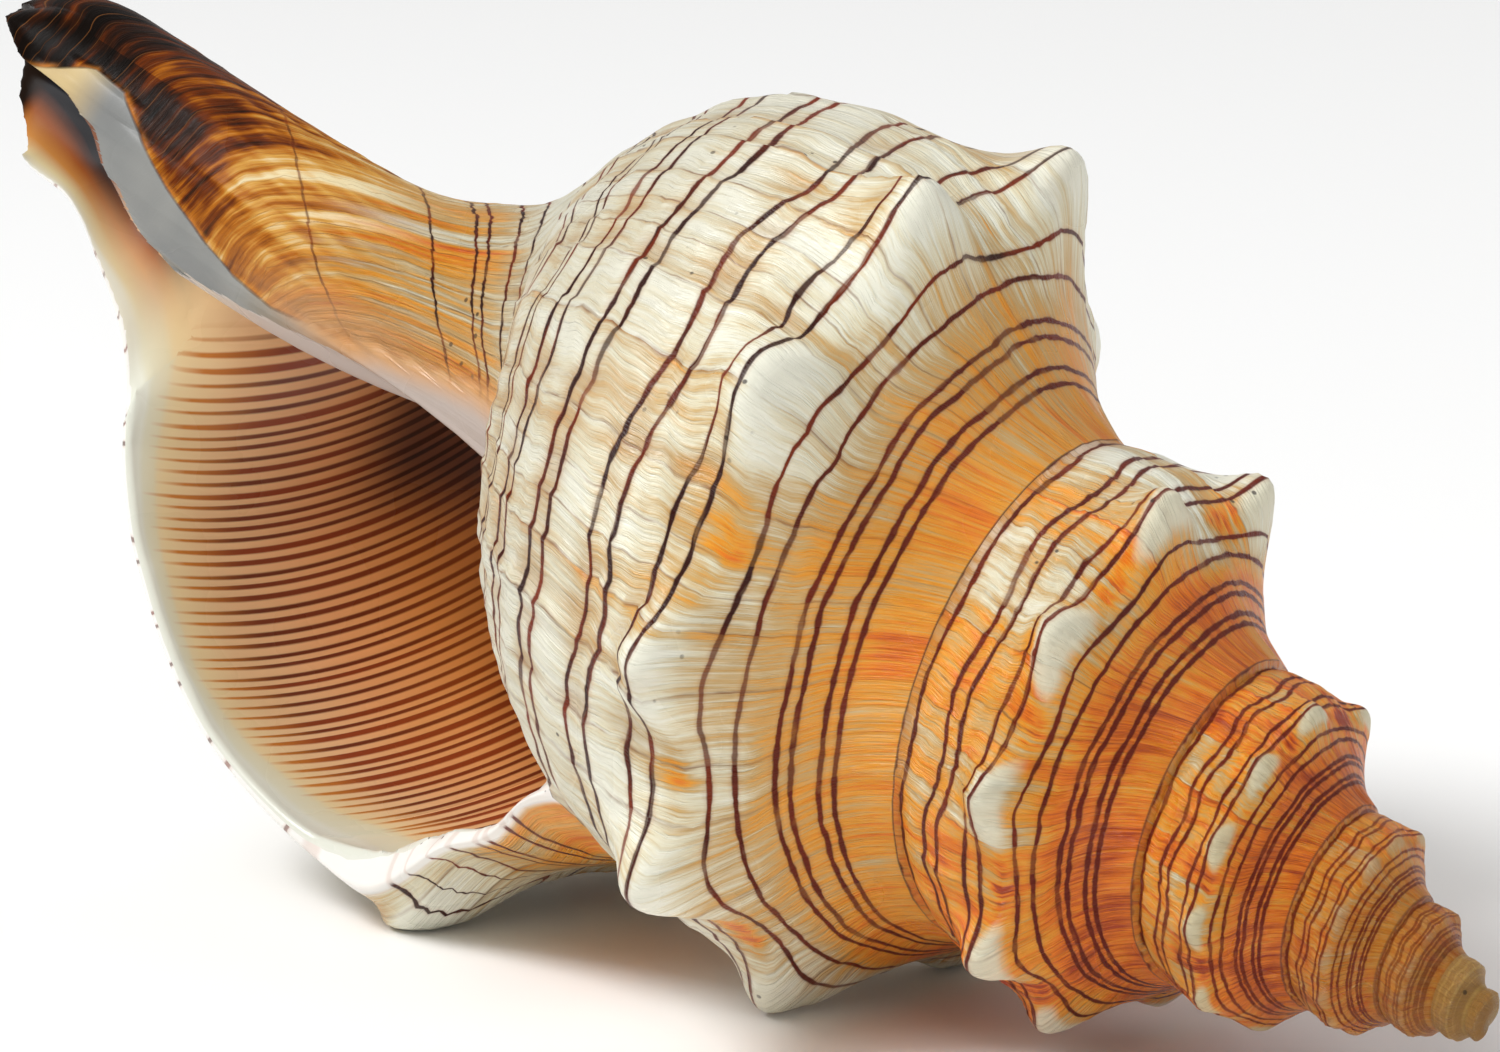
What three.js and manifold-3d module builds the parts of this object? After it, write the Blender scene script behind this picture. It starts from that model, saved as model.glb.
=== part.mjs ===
// Trapezium horse conch shell: one hollow, right-handed (dextral) spiral shell,
// lying on a level surface. Millimetres, +Z up.
//
// The shell is drawn in its own axis system first: the coiling axis is the
// z axis, the apex is at the top, and s is the distance down from the apex
// towards the tip of the siphonal canal. Growth runs with the angle t (radians):
// t = 0 is the last suture point at the mouth, older shell has t < 0.
// Lengths in that system are in shell units; UNIT turns them into millimetres,
// and the finished shell is then laid on its side.

import * as THREE from 'three';
import Module from 'manifold-3d';

// ------------------------------------------------------------ driving sizes
const LENGTH_MM = 150;              // apex to canal tip, along the axis
const UNIT = LENGTH_MM / 2141;      // one shell unit in mm

const PITCH_GROWTH = 0.0795;        // growth of suture distance per radian
const RADIUS_GROWTH = 0.0679;       // growth of suture radius per radian
const APEX_S = -5.2;                // where the spiral would converge
const SUTURE_S = 956.0;             // suture distance from apex at t = 0
const SUTURE_R = 353.4;             // suture radius at t = 0
const LIP_AZIMUTH = -24 * Math.PI / 180;   // azimuth of the last suture point
const GROWTH_LEAN = 5 * 2 * Math.PI / 48;  // lean of the growth lines, suture to side

const CANAL_R = 98.0;               // outer radius of the canal
const CANAL_ROUND_S = 2000.0;       // where the rows for the canal end begin
const LIP_EDGE = LIP_AZIMUTH + GROWTH_LEAN;   // azimuth of the lip along the canal
const WALL = 22.0;                  // wall thickness of the last whorl
const LIP_THINNING = 9.0;           // how much thinner the wall is at the lip
const SHOULDER_RIM = 22.0;          // extra thickness of the lip at the shoulder
const GLAZE = 9.0;                  // inner coat on the older whorl in the mouth
const KNOB = 0.31;                  // knob height, in suture radii

const COLUMNS = 48;                 // columns per turn
const TURNS = 7;                    // modelled turns
const FINE_TURNS = 3.25;            // turns with all rows
const HOLLOW_TURNS = 1.35;          // how far the hollow is cut in

// Rest pose: the direction in the axis system that points straight down, and
// the turn about the vertical that sets the length along +X.
const REST_DOWN = [0.79493, 0.49249, 0.35431];
const REST_YAW = -0.55466;

// ------------------------------------------------------------- profile data
// One whorl in section: position v, radius and distance from the apex, both
// relative to the suture. v 0 to 1 runs from suture to next suture, 1 to 2
// over the base to the neck.
const PROFILE = [
  [0.00, 1.000, 1.000], [0.10, 1.080, 1.080], [0.22, 1.238, 1.155],
  [0.34, 1.385, 1.215], [0.45, 1.495, 1.270], [0.56, 1.568, 1.340],
  [0.68, 1.608, 1.420], [0.84, 1.600, 1.520], [1.00, 1.532, 1.647],
  [1.12, 1.482, 1.700], [1.28, 1.406, 1.765], [1.44, 1.290, 1.830],
  [1.56, 1.170, 1.880], [1.66, 1.030, 1.918], [1.76, 0.870, 1.950],
  [1.84, 0.720, 1.977], [1.91, 0.600, 2.010], [2.00, 0.500, 2.070],
];
// How far along its lean a growth line is, at profile position v.
const LEAN = [
  [0, 0], [0.08, 0.19], [0.14, 0.40], [0.20, 0.55], [0.28, 0.62],
  [0.36, 0.68], [0.46, 0.80], [0.58, 0.92], [0.72, 1.0], [1.0, 1.0],
];
// Growth angle of each shoulder knob, newest first.
const KNOBS = [
  -0.05, -0.72, -1.42, -2.12, -2.85, -3.56, -4.25, -4.86, -5.54, -6.17,
  -6.88, -7.55, -8.25, -8.95, -9.68, -10.48, -11.15, -11.77, -12.5, -13.13,
  -13.8, -14.47, -15.15, -15.82, -16.66, -17.2, -17.71, -18.26, -18.93,
  -19.68, -20.34, -20.98, -21.62, -22.26, -22.9, -23.33, -23.92, -24.41,
  -24.9, -25.35, -25.82,
];
while (KNOBS[KNOBS.length - 1] > -46) KNOBS.push(KNOBS[KNOBS.length - 1] - 0.55);
// Knob height by age (lower on the old, worn whorls) and three uneven knobs.
const KNOB_AGE = [[13, 1], [16, 0.65], [22, 0.5], [30, 0.35]];
const KNOB_ODD = [[-0.72, 0.85], [-2.85, 0.6], [-8.95, 0.7]];
// How much slimmer the old whorls are, by age.
const SLIM = [[9, 0], [16, 0.05], [22, 0.10], [28, 0.16], [35, 0.20]];
// Newest growth standing out: on the whorl by v, on the canal by s (units).
const FLARE_V = [
  [0.55, 0], [0.73, 1.0], [0.92, 0.85], [1.12, 0.5], [1.3, 0.1], [1.5, 0],
  [1.66, 0.5], [1.76, 1.0], [1.91, 1.0], [2.0, 0.6],
];
const FLARE_S = [
  [1850, 0], [1873, 6], [1926, 20], [1963, 20], [1994, 15], [2025, 16],
  [2047, 15], [2070, 8], [2100, 0],
];
// Oblique end of the canal: azimuth, s where it starts to round off, s at the end.
const CANAL_END = [
  [-180, 2000, 2178], [-150, 2000, 2160], [-130, 2000, 2140], [-110, 2050, 2150],
  [-100, 2075, 2150], [-90, 2060, 2125], [-80, 2040, 2105], [-75, 2010, 2075],
  [-60, 2000, 2070], [0, 2040, 2090], [20, 2065, 2115], [35, 2085, 2140],
  [50, 2105, 2165], [70, 2120, 2185], [90, 2120, 2190], [130, 2060, 2190],
  [180, 2000, 2178],
];
// Outline of the columella where the mouth shows it: distance s, radius.
const COLUMELLA = [
  [1200, 60], [1262, 66], [1330, 68], [1400, 73], [1460, 85], [1550, 101],
  [1620, 110], [1700, 116], [1740, 114], [1800, 108], [1900, 100], [2000, 95],
];
const COLUMELLA_T = -0.45;          // growth angle where that outline holds
// Open channel of the canal: distance s, centre x, centre y, radius.
const CHANNEL = [
  [1600, 98, 80, 36], [1660, 92, 70, 44], [1720, 82, 55, 52],
  [1780, 70, 36, 60], [1850, 54, 6, 68], [1920, 43, -15, 73],
  [1980, 39, -23, 75], [2060, 39, -25, 75], [2120, 39, -26, 76],
  [2240, 42, -30, 80],
];
const CHANNEL_S = [1600, 1640, 1680, 1720, 1760, 1800, 1830, 1860, 1890, 1920, 1960, 2000, 2040, 2090, 2140, 2240];

// ---------------------------------------------------------------- functions
const { PI, cos, sin, exp, abs, hypot, sqrt, min, max, pow } = Math;
const clamp = (x, a, b) => min(max(x, a), b);
const smooth = (x, a, b) => { const t = clamp((x - a) / (b - a), 0, 1); return t * t * (3 - 2 * t); };

// natural cubic spline through (x, y)
function spline(xs, ys) {
  const n = xs.length, m = new Array(n).fill(0), u = new Array(n).fill(0);
  for (let i = 1; i < n - 1; i++) {
    const sig = (xs[i] - xs[i - 1]) / (xs[i + 1] - xs[i - 1]);
    const p = sig * m[i - 1] + 2;
    m[i] = (sig - 1) / p;
    const d = (ys[i + 1] - ys[i]) / (xs[i + 1] - xs[i]) - (ys[i] - ys[i - 1]) / (xs[i] - xs[i - 1]);
    u[i] = (6 * d / (xs[i + 1] - xs[i - 1]) - sig * u[i - 1]) / p;
  }
  for (let i = n - 2; i >= 0; i--) m[i] = m[i] * m[i + 1] + u[i];
  m[0] = 0;
  return (x) => {
    x = clamp(x, xs[0], xs[n - 1]);
    let i = 0;
    while (i < n - 2 && x > xs[i + 1]) i++;
    const h = xs[i + 1] - xs[i], a = (xs[i + 1] - x) / h, b = (x - xs[i]) / h;
    return a * ys[i] + b * ys[i + 1] + ((a ** 3 - a) * m[i] + (b ** 3 - b) * m[i + 1]) * h * h / 6;
  };
}
// straight-line interpolation in a table, column c against column 0
function table(rows, x, c) {
  if (x <= rows[0][0]) return rows[0][c];
  const last = rows[rows.length - 1];
  if (x >= last[0]) return last[c];
  let i = 0;
  while (x > rows[i + 1][0]) i++;
  const f = (x - rows[i][0]) / (rows[i + 1][0] - rows[i][0]);
  return rows[i][c] + f * (rows[i + 1][c] - rows[i][c]);
}

const profileR = spline(PROFILE.map((p) => p[0]), PROFILE.map((p) => p[1]));
const profileS = spline(PROFILE.map((p) => p[0]), PROFILE.map((p) => p[2]));
const lean = (v) => table(LEAN, v, 1);
const sutureR = (t) => SUTURE_R * exp(RADIUS_GROWTH * t);
const sutureS = (t) => SUTURE_S * exp(PITCH_GROWTH * t);    // from APEX_S

const gauss = (x, w) => exp(-((x / w) ** 2));
const knobUp = KNOBS.map((k) => (KNOB_ODD.find((o) => o[0] === k) ?? [k, table(KNOB_AGE, -k, 1)])[1]);
function knob(t, v) {
  let n = 0;
  KNOBS.forEach((k, i) => { if (abs(t - k) < abs(t - KNOBS[n])) n = i; });
  const newest = KNOBS[n] > -1;
  const w = v < 0.46 ? 0.105 : newest ? 0.14 : 0.165;
  return knobUp[n] * gauss(t - KNOBS[n], newest ? 0.12 : 0.165) * gauss(v - 0.46, w);
}
// outside of the whorls: growth angle t, profile position v -> [radius, s]
function outside(t, v) {
  const b = knob(t, v), young = gauss(min(t + GROWTH_LEAN, 0), 0.45) * table(FLARE_V, v, 1);
  let r = profileR(v) + KNOB * b + 0.042 * young - 0.05 * gauss(t + 4.0, 0.7) * gauss(v - 1.58, 0.25);
  r = (r - 0.085 * smooth(t, -1.1, -0.8) * gauss(v - 0.37, 0.14)) * (1 - table(SLIM, -t, 1));
  return [r * sutureR(t), APEX_S + (profileS(v) + 0.03 * b + 0.0138 * young) * sutureS(t)];
}
const wrap = (a) => a - 2 * PI * Math.round(a / (2 * PI));
const canalEnd = (az) => table(CANAL_END, wrap(az) * 180 / PI, 2);
const canalRound = (az) => table(CANAL_END, wrap(az) * 180 / PI, 1);
const canalR = (az, s) => CANAL_R + 16 * gauss(s - 1690, 130) * clamp(cos(az + 15 * PI / 180), 0, 1)
  + gauss(wrap(az - LIP_EDGE), PI / 4) * table(FLARE_S, s, 1);
// outside of the canal: w 0 to 1 from the neck to the tip
function canal(t, w) {
  const az = LIP_AZIMUTH - t, [r2, s2] = outside(t, 2), end = canalEnd(az);
  const s = w < 0.55 ? s2 + (CANAL_ROUND_S - s2) * (w / 0.55)
    : CANAL_ROUND_S + (end - CANAL_ROUND_S) * sin(min((w - 0.55) / 0.45, 1) * PI / 2);
  const flare = (r2 - canalR(az, s2)) * exp(-(s - s2) / 66) * (1 - smooth(s, 1900, CANAL_ROUND_S));
  const begin = canalRound(az), x = clamp((s - begin) / (end - begin), 0, 1);
  return [(canalR(az, s) + flare) * pow(1 - x * x, 0.6), s];
}
const place = (r, s, az) => [r * cos(az), r * sin(az), -s];

// ------------------------------------------- outside of the shell, one skin
// Columns follow the growth lines, rows run from suture to suture. Each whorl
// ends on the first row of the next, so the skin closes on itself; only the
// last turn goes on over the base, the neck and the canal.
function outsideSkin() {
  const rowsV = [0, 0.12, 0.25, 0.36, 0.45, 0.55, 0.70, 0.85, 1.0];
  const rowsB = [1.14, 1.30, 1.44, 1.56, 1.67, 1.78, 1.88, 2.0];
  const rowsC1 = [0.12, 0.28, 0.46];
  const rowsC2 = [0.55, 0.66, 0.76, 0.86, 0.94];
  const N = COLUMNS, T = Math.round(TURNS * N), dt = 2 * PI / N;
  const ns = Math.round(GROWTH_LEAN / dt), M = rowsV.length - 1;
  const coarseTo = T - Math.round(FINE_TURNS * N);
  const verts = [], faces = [];
  const add = (p) => verts.push(p) - 1;
  const tri = (a, b, c) => { if (a !== b && b !== c && a !== c) faces.push([a, b, c]); };
  const t = (i) => (i - T) * dt;
  const G = [];
  for (let i = 0; i <= T; i++) {
    G.push(rowsV.map((v, j) => {
      if (j === M && i + N - ns <= T) return -1;
      if (i < coarseTo && j % 2 === 1) return -1;
      const tp = t(i) - GROWTH_LEAN * lean(v), [r, s] = outside(tp, v);
      return add(place(r, s, LIP_AZIMUTH - tp));
    }));
  }
  for (let i = 0; i <= T; i++) if (i + N - ns <= T) G[i][M] = G[i + N - ns][0];

  const nb = rowsB.length, c1 = rowsC1.length, c2 = rowsC2.length;
  const full = 1 + nb + c1 + c2, K = 1 + nb + c1, H = [];
  for (let a = 0; a <= N; a++) {
    const tb = t(T - N + a) - GROWTH_LEAN, az = LIP_AZIMUTH - tb, col = [G[T - N + a][M]];
    rowsB.forEach((v, j) => {
      if (a < ns && 1 + j < ns - a) { col.push(-1); return; }
      const [r, s] = outside(tb, v); col.push(add(place(r, s, az)));
    });
    rowsC1.forEach((w) => { const [r, s] = canal(tb, w); col.push(add(place(r, s, az))); });
    rowsC2.forEach((w, j) => {
      if (a === N) { col.push(H[0][K + j]); return; }
      const [r, s] = canal(tb, w); col.push(add(place(r, s, az)));
    });
    H.push(col);
  }
  const tip = add([0, 0, -canalEnd(PI / 2)]);

  for (let i = 0; i < T; i++) {
    const a = G[i], b = G[i + 1];
    if (i + 1 < coarseTo) {
      for (let j = 0; j < M; j += 2) { tri(a[j], a[j + 2], b[j + 2]); tri(a[j], b[j + 2], b[j]); }
    } else if (i < coarseTo) {
      for (let j = 0; j < M; j += 2) {
        tri(a[j], b[j + 1], b[j]); tri(a[j], a[j + 2], b[j + 1]); tri(a[j + 2], b[j + 2], b[j + 1]);
      }
    } else {
      for (let j = 0; j < M; j++) { tri(a[j], a[j + 1], b[j + 1]); tri(a[j], b[j + 1], b[j]); }
    }
  }
  for (let a = 0; a < N; a++) {
    for (let j = 0; j < full - 1; j++) {
      if (a < ns) {
        const jp = ns - a;
        if (j < jp - 1) continue;
        if (j === jp - 1) { tri(H[a][jp], H[a + 1][jp], H[a + 1][jp - 1]); continue; }
      }
      tri(H[a][j], H[a][j + 1], H[a + 1][j + 1]); tri(H[a][j], H[a + 1][j + 1], H[a + 1][j]);
    }
    tri(H[a][full - 1], tip, H[a + 1][full - 1]);
  }

  // face of the growing edge, between the lip and the older whorl
  const lip = [...G[T], ...H[N].slice(1, K), H[0][K]];
  const inner = [];
  for (let q = 0; q <= ns; q++) inner.push(H[ns - q][q]);
  for (let j = ns + 1; j <= K; j++) inner.push(H[0][j]);
  const dist = (p, q) => hypot(verts[p][0] - verts[q][0], verts[p][1] - verts[q][1], verts[p][2] - verts[q][2]);
  let i = 0, j = 0;
  while (i < lip.length - 1 || j < inner.length - 1) {
    const di = i < lip.length - 1 ? dist(lip[i + 1], inner[j]) : Infinity;
    const dj = j < inner.length - 1 ? dist(lip[i], inner[j + 1]) : Infinity;
    if (di <= dj) { tri(lip[i], lip[i + 1], inner[j]); i++; } else { tri(lip[i], inner[j + 1], inner[j]); j++; }
  }

  // worn, rounded apex
  const rim = [];
  for (let k = 0; k <= N - ns; k++) rim.push(G[k][0]);
  for (let r = M - 2; r > 0; r -= 2) rim.push(G[0][r]);
  const top = add([0, 0, max(...rim.map((k) => verts[k][2])) + 4]);
  rim.forEach((a, k) => tri(a, rim[(k + 1) % rim.length], top));
  return { verts, faces };
}

// --------------------------------------------------------- the coiled hollow
const baseTable = [];
for (let k = 0; k <= 100; k++) { const v = 1 + k / 100; baseTable.push([profileS(v), profileR(v)]); }
// radius of the whorl one turn older, under the mouth
function olderR(t, s) {
  const t2 = t - 2 * PI, sn = (s - APEX_S) / sutureS(t2), end = baseTable[100];
  if (sn <= end[0]) return table(baseTable, sn, 1) * sutureR(t2);
  return 60 + (end[1] * sutureR(t2) - 60) * exp(-(s - APEX_S - end[0] * sutureS(t2)) / 80);
}
const columellaR = (t, s) => table(COLUMELLA, APEX_S + (s - APEX_S) * exp(-PITCH_GROWTH * (t - COLUMELLA_T)), 1)
  * exp(RADIUS_GROWTH * (t - COLUMELLA_T));
function hollowRing(t) {
  const nOut = 17, nIn = 10, ring = [], e = 1e-3;
  let first = 0, last = 0;
  for (let k = 0; k < nOut; k++) {
    const v = 0.05 + 1.92 * k / (nOut - 1), tp = t - GROWTH_LEAN * lean(v);
    const [r, s] = outside(tp, v), [r0, s0] = outside(tp, v - e), [r1, s1] = outside(tp, v + e);
    const L = hypot(r1 - r0, s1 - s0);
    const nearLip = exp(-max(-(tp + GROWTH_LEAN * lean(v)), 0) / 0.16);
    const th = (WALL - LIP_THINNING * nearLip) * exp(RADIUS_GROWTH * (tp + 0.63)) + 0.22 * knob(tp, v) * sutureR(tp)
      + SHOULDER_RIM * gauss(v - 0.52, 0.22) * exp(-max(-t, 0) / 0.5);
    const rr = r - (s1 - s0) / L * th, ss = s + (r1 - r0) / L * th;
    if (k === 0) first = ss;
    last = ss;
    ring.push(place(rr, ss, LIP_AZIMUTH - tp));
  }
  for (let k = 0; k < nIn; k++) {
    const u = 1 - (k + 1) / (nIn + 1), s = first + (last - first) * u;
    const tp = t - GROWTH_LEAN * smooth(u, 0, 0.3);
    const r = max(olderR(tp, s) + GLAZE * exp(RADIUS_GROWTH * tp), columellaR(tp, s)) + 90 * smooth(tp, 0.05, 0.42);
    ring.push(place(r, s, LIP_AZIMUTH - tp));
  }
  return ring;
}
function hollowRings() {
  const ts = [1.05, 0.8, 0.6, 0.4, 0.2];
  let t = 0;
  while (t > -2 * PI * HOLLOW_TURNS) { ts.push(t); t -= t > -3 ? 0.19 : 0.3; }
  return ts.map(hollowRing);
}
// ------------------------------------------------------ channel of the canal
// radius of the outside at distance s and azimuth az, on the newest base and canal
function outerR(s, az) {
  const t = LIP_AZIMUTH - az, rows = [];
  for (let k = 0; k < 16; k++) rows.push(outside(t, 1.4 + 0.04 * k));
  for (let k = 1; k < 14; k++) rows.push(canal(t, 0.04 * k));
  return table(rows.map(([r, ss]) => [ss, r]), s, 1);
}
// One ring per distance s: behind the lip it follows the wall, then it goes
// round the back of the channel to the inner lip, and closes in the open.
function channelRing(s) {
  const n1 = 6, n2 = 13, ring = [];
  const cx = table(CHANNEL, s, 1), cy = table(CHANNEL, s, 2), r = table(CHANNEL, s, 3);
  const cr = hypot(cx, cy), ca = Math.atan2(cy, cx), m = smooth(s, 1730, 1800), deg = PI / 180;
  const limit = cr > r ? ca + 0.85 * Math.asin(r / cr) : 75 * deg;
  const reach = min(75 * deg, limit);
  const far = (a) => {
    const b = cx * cos(a) + cy * sin(a);
    return b + sqrt(max(r * r - (cr * cr - b * b), 0));
  };
  for (let k = 0; k < n1; k++) {
    const az = LIP_EDGE + 0.5 * deg + (reach - LIP_EDGE) * k / (n1 - 1);
    const wall = table([[1800, 17], [1850, 13], [1950, 9]], s, 1) + 26 * smooth(az, LIP_EDGE, 62 * deg);
    const skin = outerR(min(s, 2010), az);
    const a = min(far(az), skin - 8), b = skin - wall, d = clamp(0.5 + (a - b) / 16, 0, 1);
    const R = far(az) + (b + (a - b) * d + 4 * d * (1 - d) - far(az)) * m;
    ring.push([R * cos(az), R * sin(az)]);
  }
  const [fx, fy] = ring[0], [lx, ly] = ring[n1 - 1];
  const p0 = Math.atan2(ly - cy, lx - cx), RK = s > 1840 ? 97 : 110;
  const aK = ca - Math.acos(clamp((RK * RK + cr * cr - r * r) / (2 * RK * cr), -1, 1));
  const turnTo = (from, to) => from + ((to - from) % (2 * PI) + 2 * PI) % (2 * PI);
  const pK = turnTo(p0, Math.atan2(RK * sin(aK) - cy, RK * cos(aK) - cx));
  const d0 = hypot(lx - cx, ly - cy);
  for (let k = 1; k <= n2; k++) {
    const ph = p0 + (pK - p0) * k / n2, rr = r + (d0 - r) * (1 - smooth(ph, p0, p0 + 0.6));
    ring.push([cx + rr * cos(ph), cy + rr * sin(ph)]);
  }
  const RB = hypot(fx, fy) + 45, pF = turnTo(pK, Math.atan2(fy - cy, fx - cx));
  [aK - 2 * deg, (aK + LIP_EDGE) / 2, LIP_EDGE + 0.4 * deg].forEach((a, k) => {
    const ph = pK + (pF - pK) * (k + 1) / 4, x = cx + r * cos(ph), y = cy + r * sin(ph);
    ring.push([x + (RB * cos(a) - x) * m, y + (RB * sin(a) - y) * m]);
  });
  return ring.map(([x, y]) => [x, y, -s]);
}
const channelRings = () => CHANNEL_S.map(channelRing);

// closed skin over a row of rings, both ends filled
function ringSkin(rings) {
  const n = rings[0].length, verts = rings.flat(), faces = [];
  for (let k = 0; k < rings.length - 1; k++) {
    for (let j = 0; j < n; j++) {
      const a = k * n + j, b = k * n + (j + 1) % n;
      faces.push([a, a + n, b + n], [a, b + n, b]);
    }
  }
  for (const [k, flip] of [[0, true], [rings.length - 1, false]]) {
    const ring = rings[k].map((p) => new THREE.Vector3(...p));
    const normal = new THREE.Vector3();
    ring.forEach((p, q) => normal.add(new THREE.Vector3().crossVectors(p, ring[(q + 1) % n])));
    normal.normalize();
    const ex = new THREE.Vector3().subVectors(ring[Math.floor(n / 2)], ring[0]).normalize();
    const ey = new THREE.Vector3().crossVectors(normal, ex);
    const flat = ring.map((p) => new THREE.Vector2(p.dot(ex), p.dot(ey)));
    for (const [a, b, c] of THREE.ShapeUtils.triangulateShape(flat, [])) {
      faces.push(flip ? [k * n + a, k * n + b, k * n + c] : [k * n + a, k * n + c, k * n + b]);
    }
  }
  return { verts, faces };
}

// ---------------------------------------------------------------- the solid
const wasm = await Module();
wasm.setup();
function solid({ verts, faces }) {
  let volume = 0;
  for (const [a, b, c] of faces) {
    const [p, q, r] = [verts[a], verts[b], verts[c]];
    volume += p[0] * (q[1] * r[2] - q[2] * r[1]) - p[1] * (q[0] * r[2] - q[2] * r[0]) + p[2] * (q[0] * r[1] - q[1] * r[0]);
  }
  const used = new Map(), vp = [], tv = [];
  for (const f of faces) {
    const g = volume > 0 ? f : [f[0], f[2], f[1]];
    for (const k of g) {
      if (!used.has(k)) { used.set(k, used.size); vp.push(...verts[k].map((x) => x * UNIT)); }
      tv.push(used.get(k));
    }
  }
  return new wasm.Manifold(new wasm.Mesh({
    numProp: 3, vertProperties: new Float32Array(vp), triVerts: new Uint32Array(tv),
  }));
}
const shellSolid = solid(outsideSkin())
  .subtract(solid(ringSkin(hollowRings())))
  .subtract(solid(ringSkin(channelRings())));

// ------------------------------------------- lay the shell on its resting side
const down = new THREE.Vector3(...REST_DOWN).normalize();
const turn = new THREE.Quaternion().setFromUnitVectors(down, new THREE.Vector3(0, 0, -1));
turn.premultiply(new THREE.Quaternion().setFromAxisAngle(new THREE.Vector3(0, 0, 1), REST_YAW));
const out = shellSolid.getMesh();
const geometry = new THREE.BufferGeometry();
geometry.setAttribute('position', new THREE.BufferAttribute(new Float32Array(out.vertProperties), 3));
geometry.setIndex(new THREE.BufferAttribute(new Uint32Array(out.triVerts), 1));
geometry.applyQuaternion(turn);
geometry.computeBoundingBox();
const box = geometry.boundingBox;
geometry.translate(-(box.min.x + box.max.x) / 2, -(box.min.y + box.max.y) / 2, -box.min.z);

const shell = new THREE.Mesh(geometry, new THREE.MeshStandardMaterial({
  color: 0xd9b184, roughness: 0.42, metalness: 0.0,
}));
shell.name = 'shell';

const model = new THREE.Group();
model.add(shell);
export default model;
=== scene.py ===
# Trapezium horse conch shell: the finished look, built around the loaded frame.
# The shell is drawn in its own axis system (coiling axis z, apex up, s = distance
# from the apex towards the canal tip, growth angle t, newest shell t = 0) in shell
# units, then laid in the frame's resting position. Metres in the scene.
import bpy
import bmesh
import numpy as np
from math import pi, radians
from mathutils import Matrix, Vector, Quaternion


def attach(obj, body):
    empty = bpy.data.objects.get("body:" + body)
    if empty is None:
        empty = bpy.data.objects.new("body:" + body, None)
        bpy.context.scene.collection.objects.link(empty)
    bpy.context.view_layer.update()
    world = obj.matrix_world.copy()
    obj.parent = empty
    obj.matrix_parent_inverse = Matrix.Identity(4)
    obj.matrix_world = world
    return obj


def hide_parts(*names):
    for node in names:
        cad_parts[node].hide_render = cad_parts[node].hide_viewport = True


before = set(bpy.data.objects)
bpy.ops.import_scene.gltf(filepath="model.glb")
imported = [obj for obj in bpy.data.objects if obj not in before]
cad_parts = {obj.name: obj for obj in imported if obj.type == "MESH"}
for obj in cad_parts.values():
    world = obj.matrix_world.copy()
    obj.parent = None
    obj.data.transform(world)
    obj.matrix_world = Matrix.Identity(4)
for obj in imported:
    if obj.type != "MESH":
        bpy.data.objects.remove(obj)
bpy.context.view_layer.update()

# ------------------------------------------------------------ driving sizes
UNIT = 0.150 / 2141
PITCH_GROWTH, RADIUS_GROWTH = 0.0795, 0.0679
APEX_S, SUTURE_S, SUTURE_R = -5.2, 956.0, 353.4
LIP_AZ = radians(-24.0)
LEAN_MAX = 5 * 2 * pi / 48
N = 288
NS = 30
DT = 2 * pi / N
TURNS = 7
T = TURNS * N

PROFILE = np.array([
    [0.00, 1.000, 1.000], [0.10, 1.080, 1.080], [0.22, 1.238, 1.155],
    [0.34, 1.385, 1.215], [0.45, 1.495, 1.270], [0.56, 1.568, 1.340],
    [0.68, 1.608, 1.420], [0.84, 1.600, 1.520], [1.00, 1.532, 1.647],
    [1.12, 1.482, 1.700], [1.28, 1.406, 1.765], [1.44, 1.290, 1.830],
    [1.56, 1.170, 1.880], [1.66, 1.030, 1.918], [1.76, 0.870, 1.950],
    [1.84, 0.720, 1.977], [1.91, 0.600, 2.010], [2.00, 0.500, 2.070]])
LEAN = np.array([[0, 0], [0.08, 0.19], [0.14, 0.40], [0.20, 0.55], [0.28, 0.62],
                 [0.36, 0.68], [0.46, 0.80], [0.58, 0.92], [0.72, 1.0], [1.0, 1.0]])
KNOBS = [-0.05, -0.72, -1.42, -2.12, -2.85, -3.56, -4.25, -4.86, -5.54, -6.17,
         -6.88, -7.55, -8.25, -8.95, -9.68, -10.48, -11.15, -11.77, -12.5, -13.13,
         -13.8, -14.47, -15.15, -15.82, -16.66, -17.2, -17.71, -18.26, -18.93,
         -19.68, -20.34, -20.98, -21.62, -22.26, -22.9, -23.33, -23.92, -24.41,
         -24.9, -25.35, -25.82]
while KNOBS[-1] > -46:
    KNOBS.append(KNOBS[-1] - 0.55)
KNOBS = np.array(KNOBS)
# knob height by age, with the odd ones out; only the newest one is narrower
KNOB_UP = np.interp(-KNOBS, [13, 16, 22, 30], [1.0, 0.65, 0.5, 0.35])
for at, up in ((-0.72, 0.85), (-2.85, 0.6), (-8.95, 0.7)):
    KNOB_UP[np.abs(KNOBS - at).argmin()] = up
KNOB_WIDE = np.where(KNOBS > -1.0, 0.12, 0.165)
SLIM = np.array([[9, 0], [16, 0.05], [22, 0.10], [28, 0.16], [35, 0.20]])
# end of the canal: azimuth, where it starts to round off, where it ends
END = np.array([[-180, 2000, 2178], [-150, 2000, 2160], [-130, 2000, 2140], [-110, 2050, 2150],
                [-100, 2075, 2150], [-90, 2060, 2125], [-80, 2040, 2105], [-75, 2010, 2075],
                [-60, 2000, 2070], [0, 2040, 2090], [20, 2065, 2115], [35, 2085, 2140],
                [50, 2105, 2165], [70, 2120, 2185], [90, 2120, 2190], [130, 2060, 2190],
                [180, 2000, 2178]], float)
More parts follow.
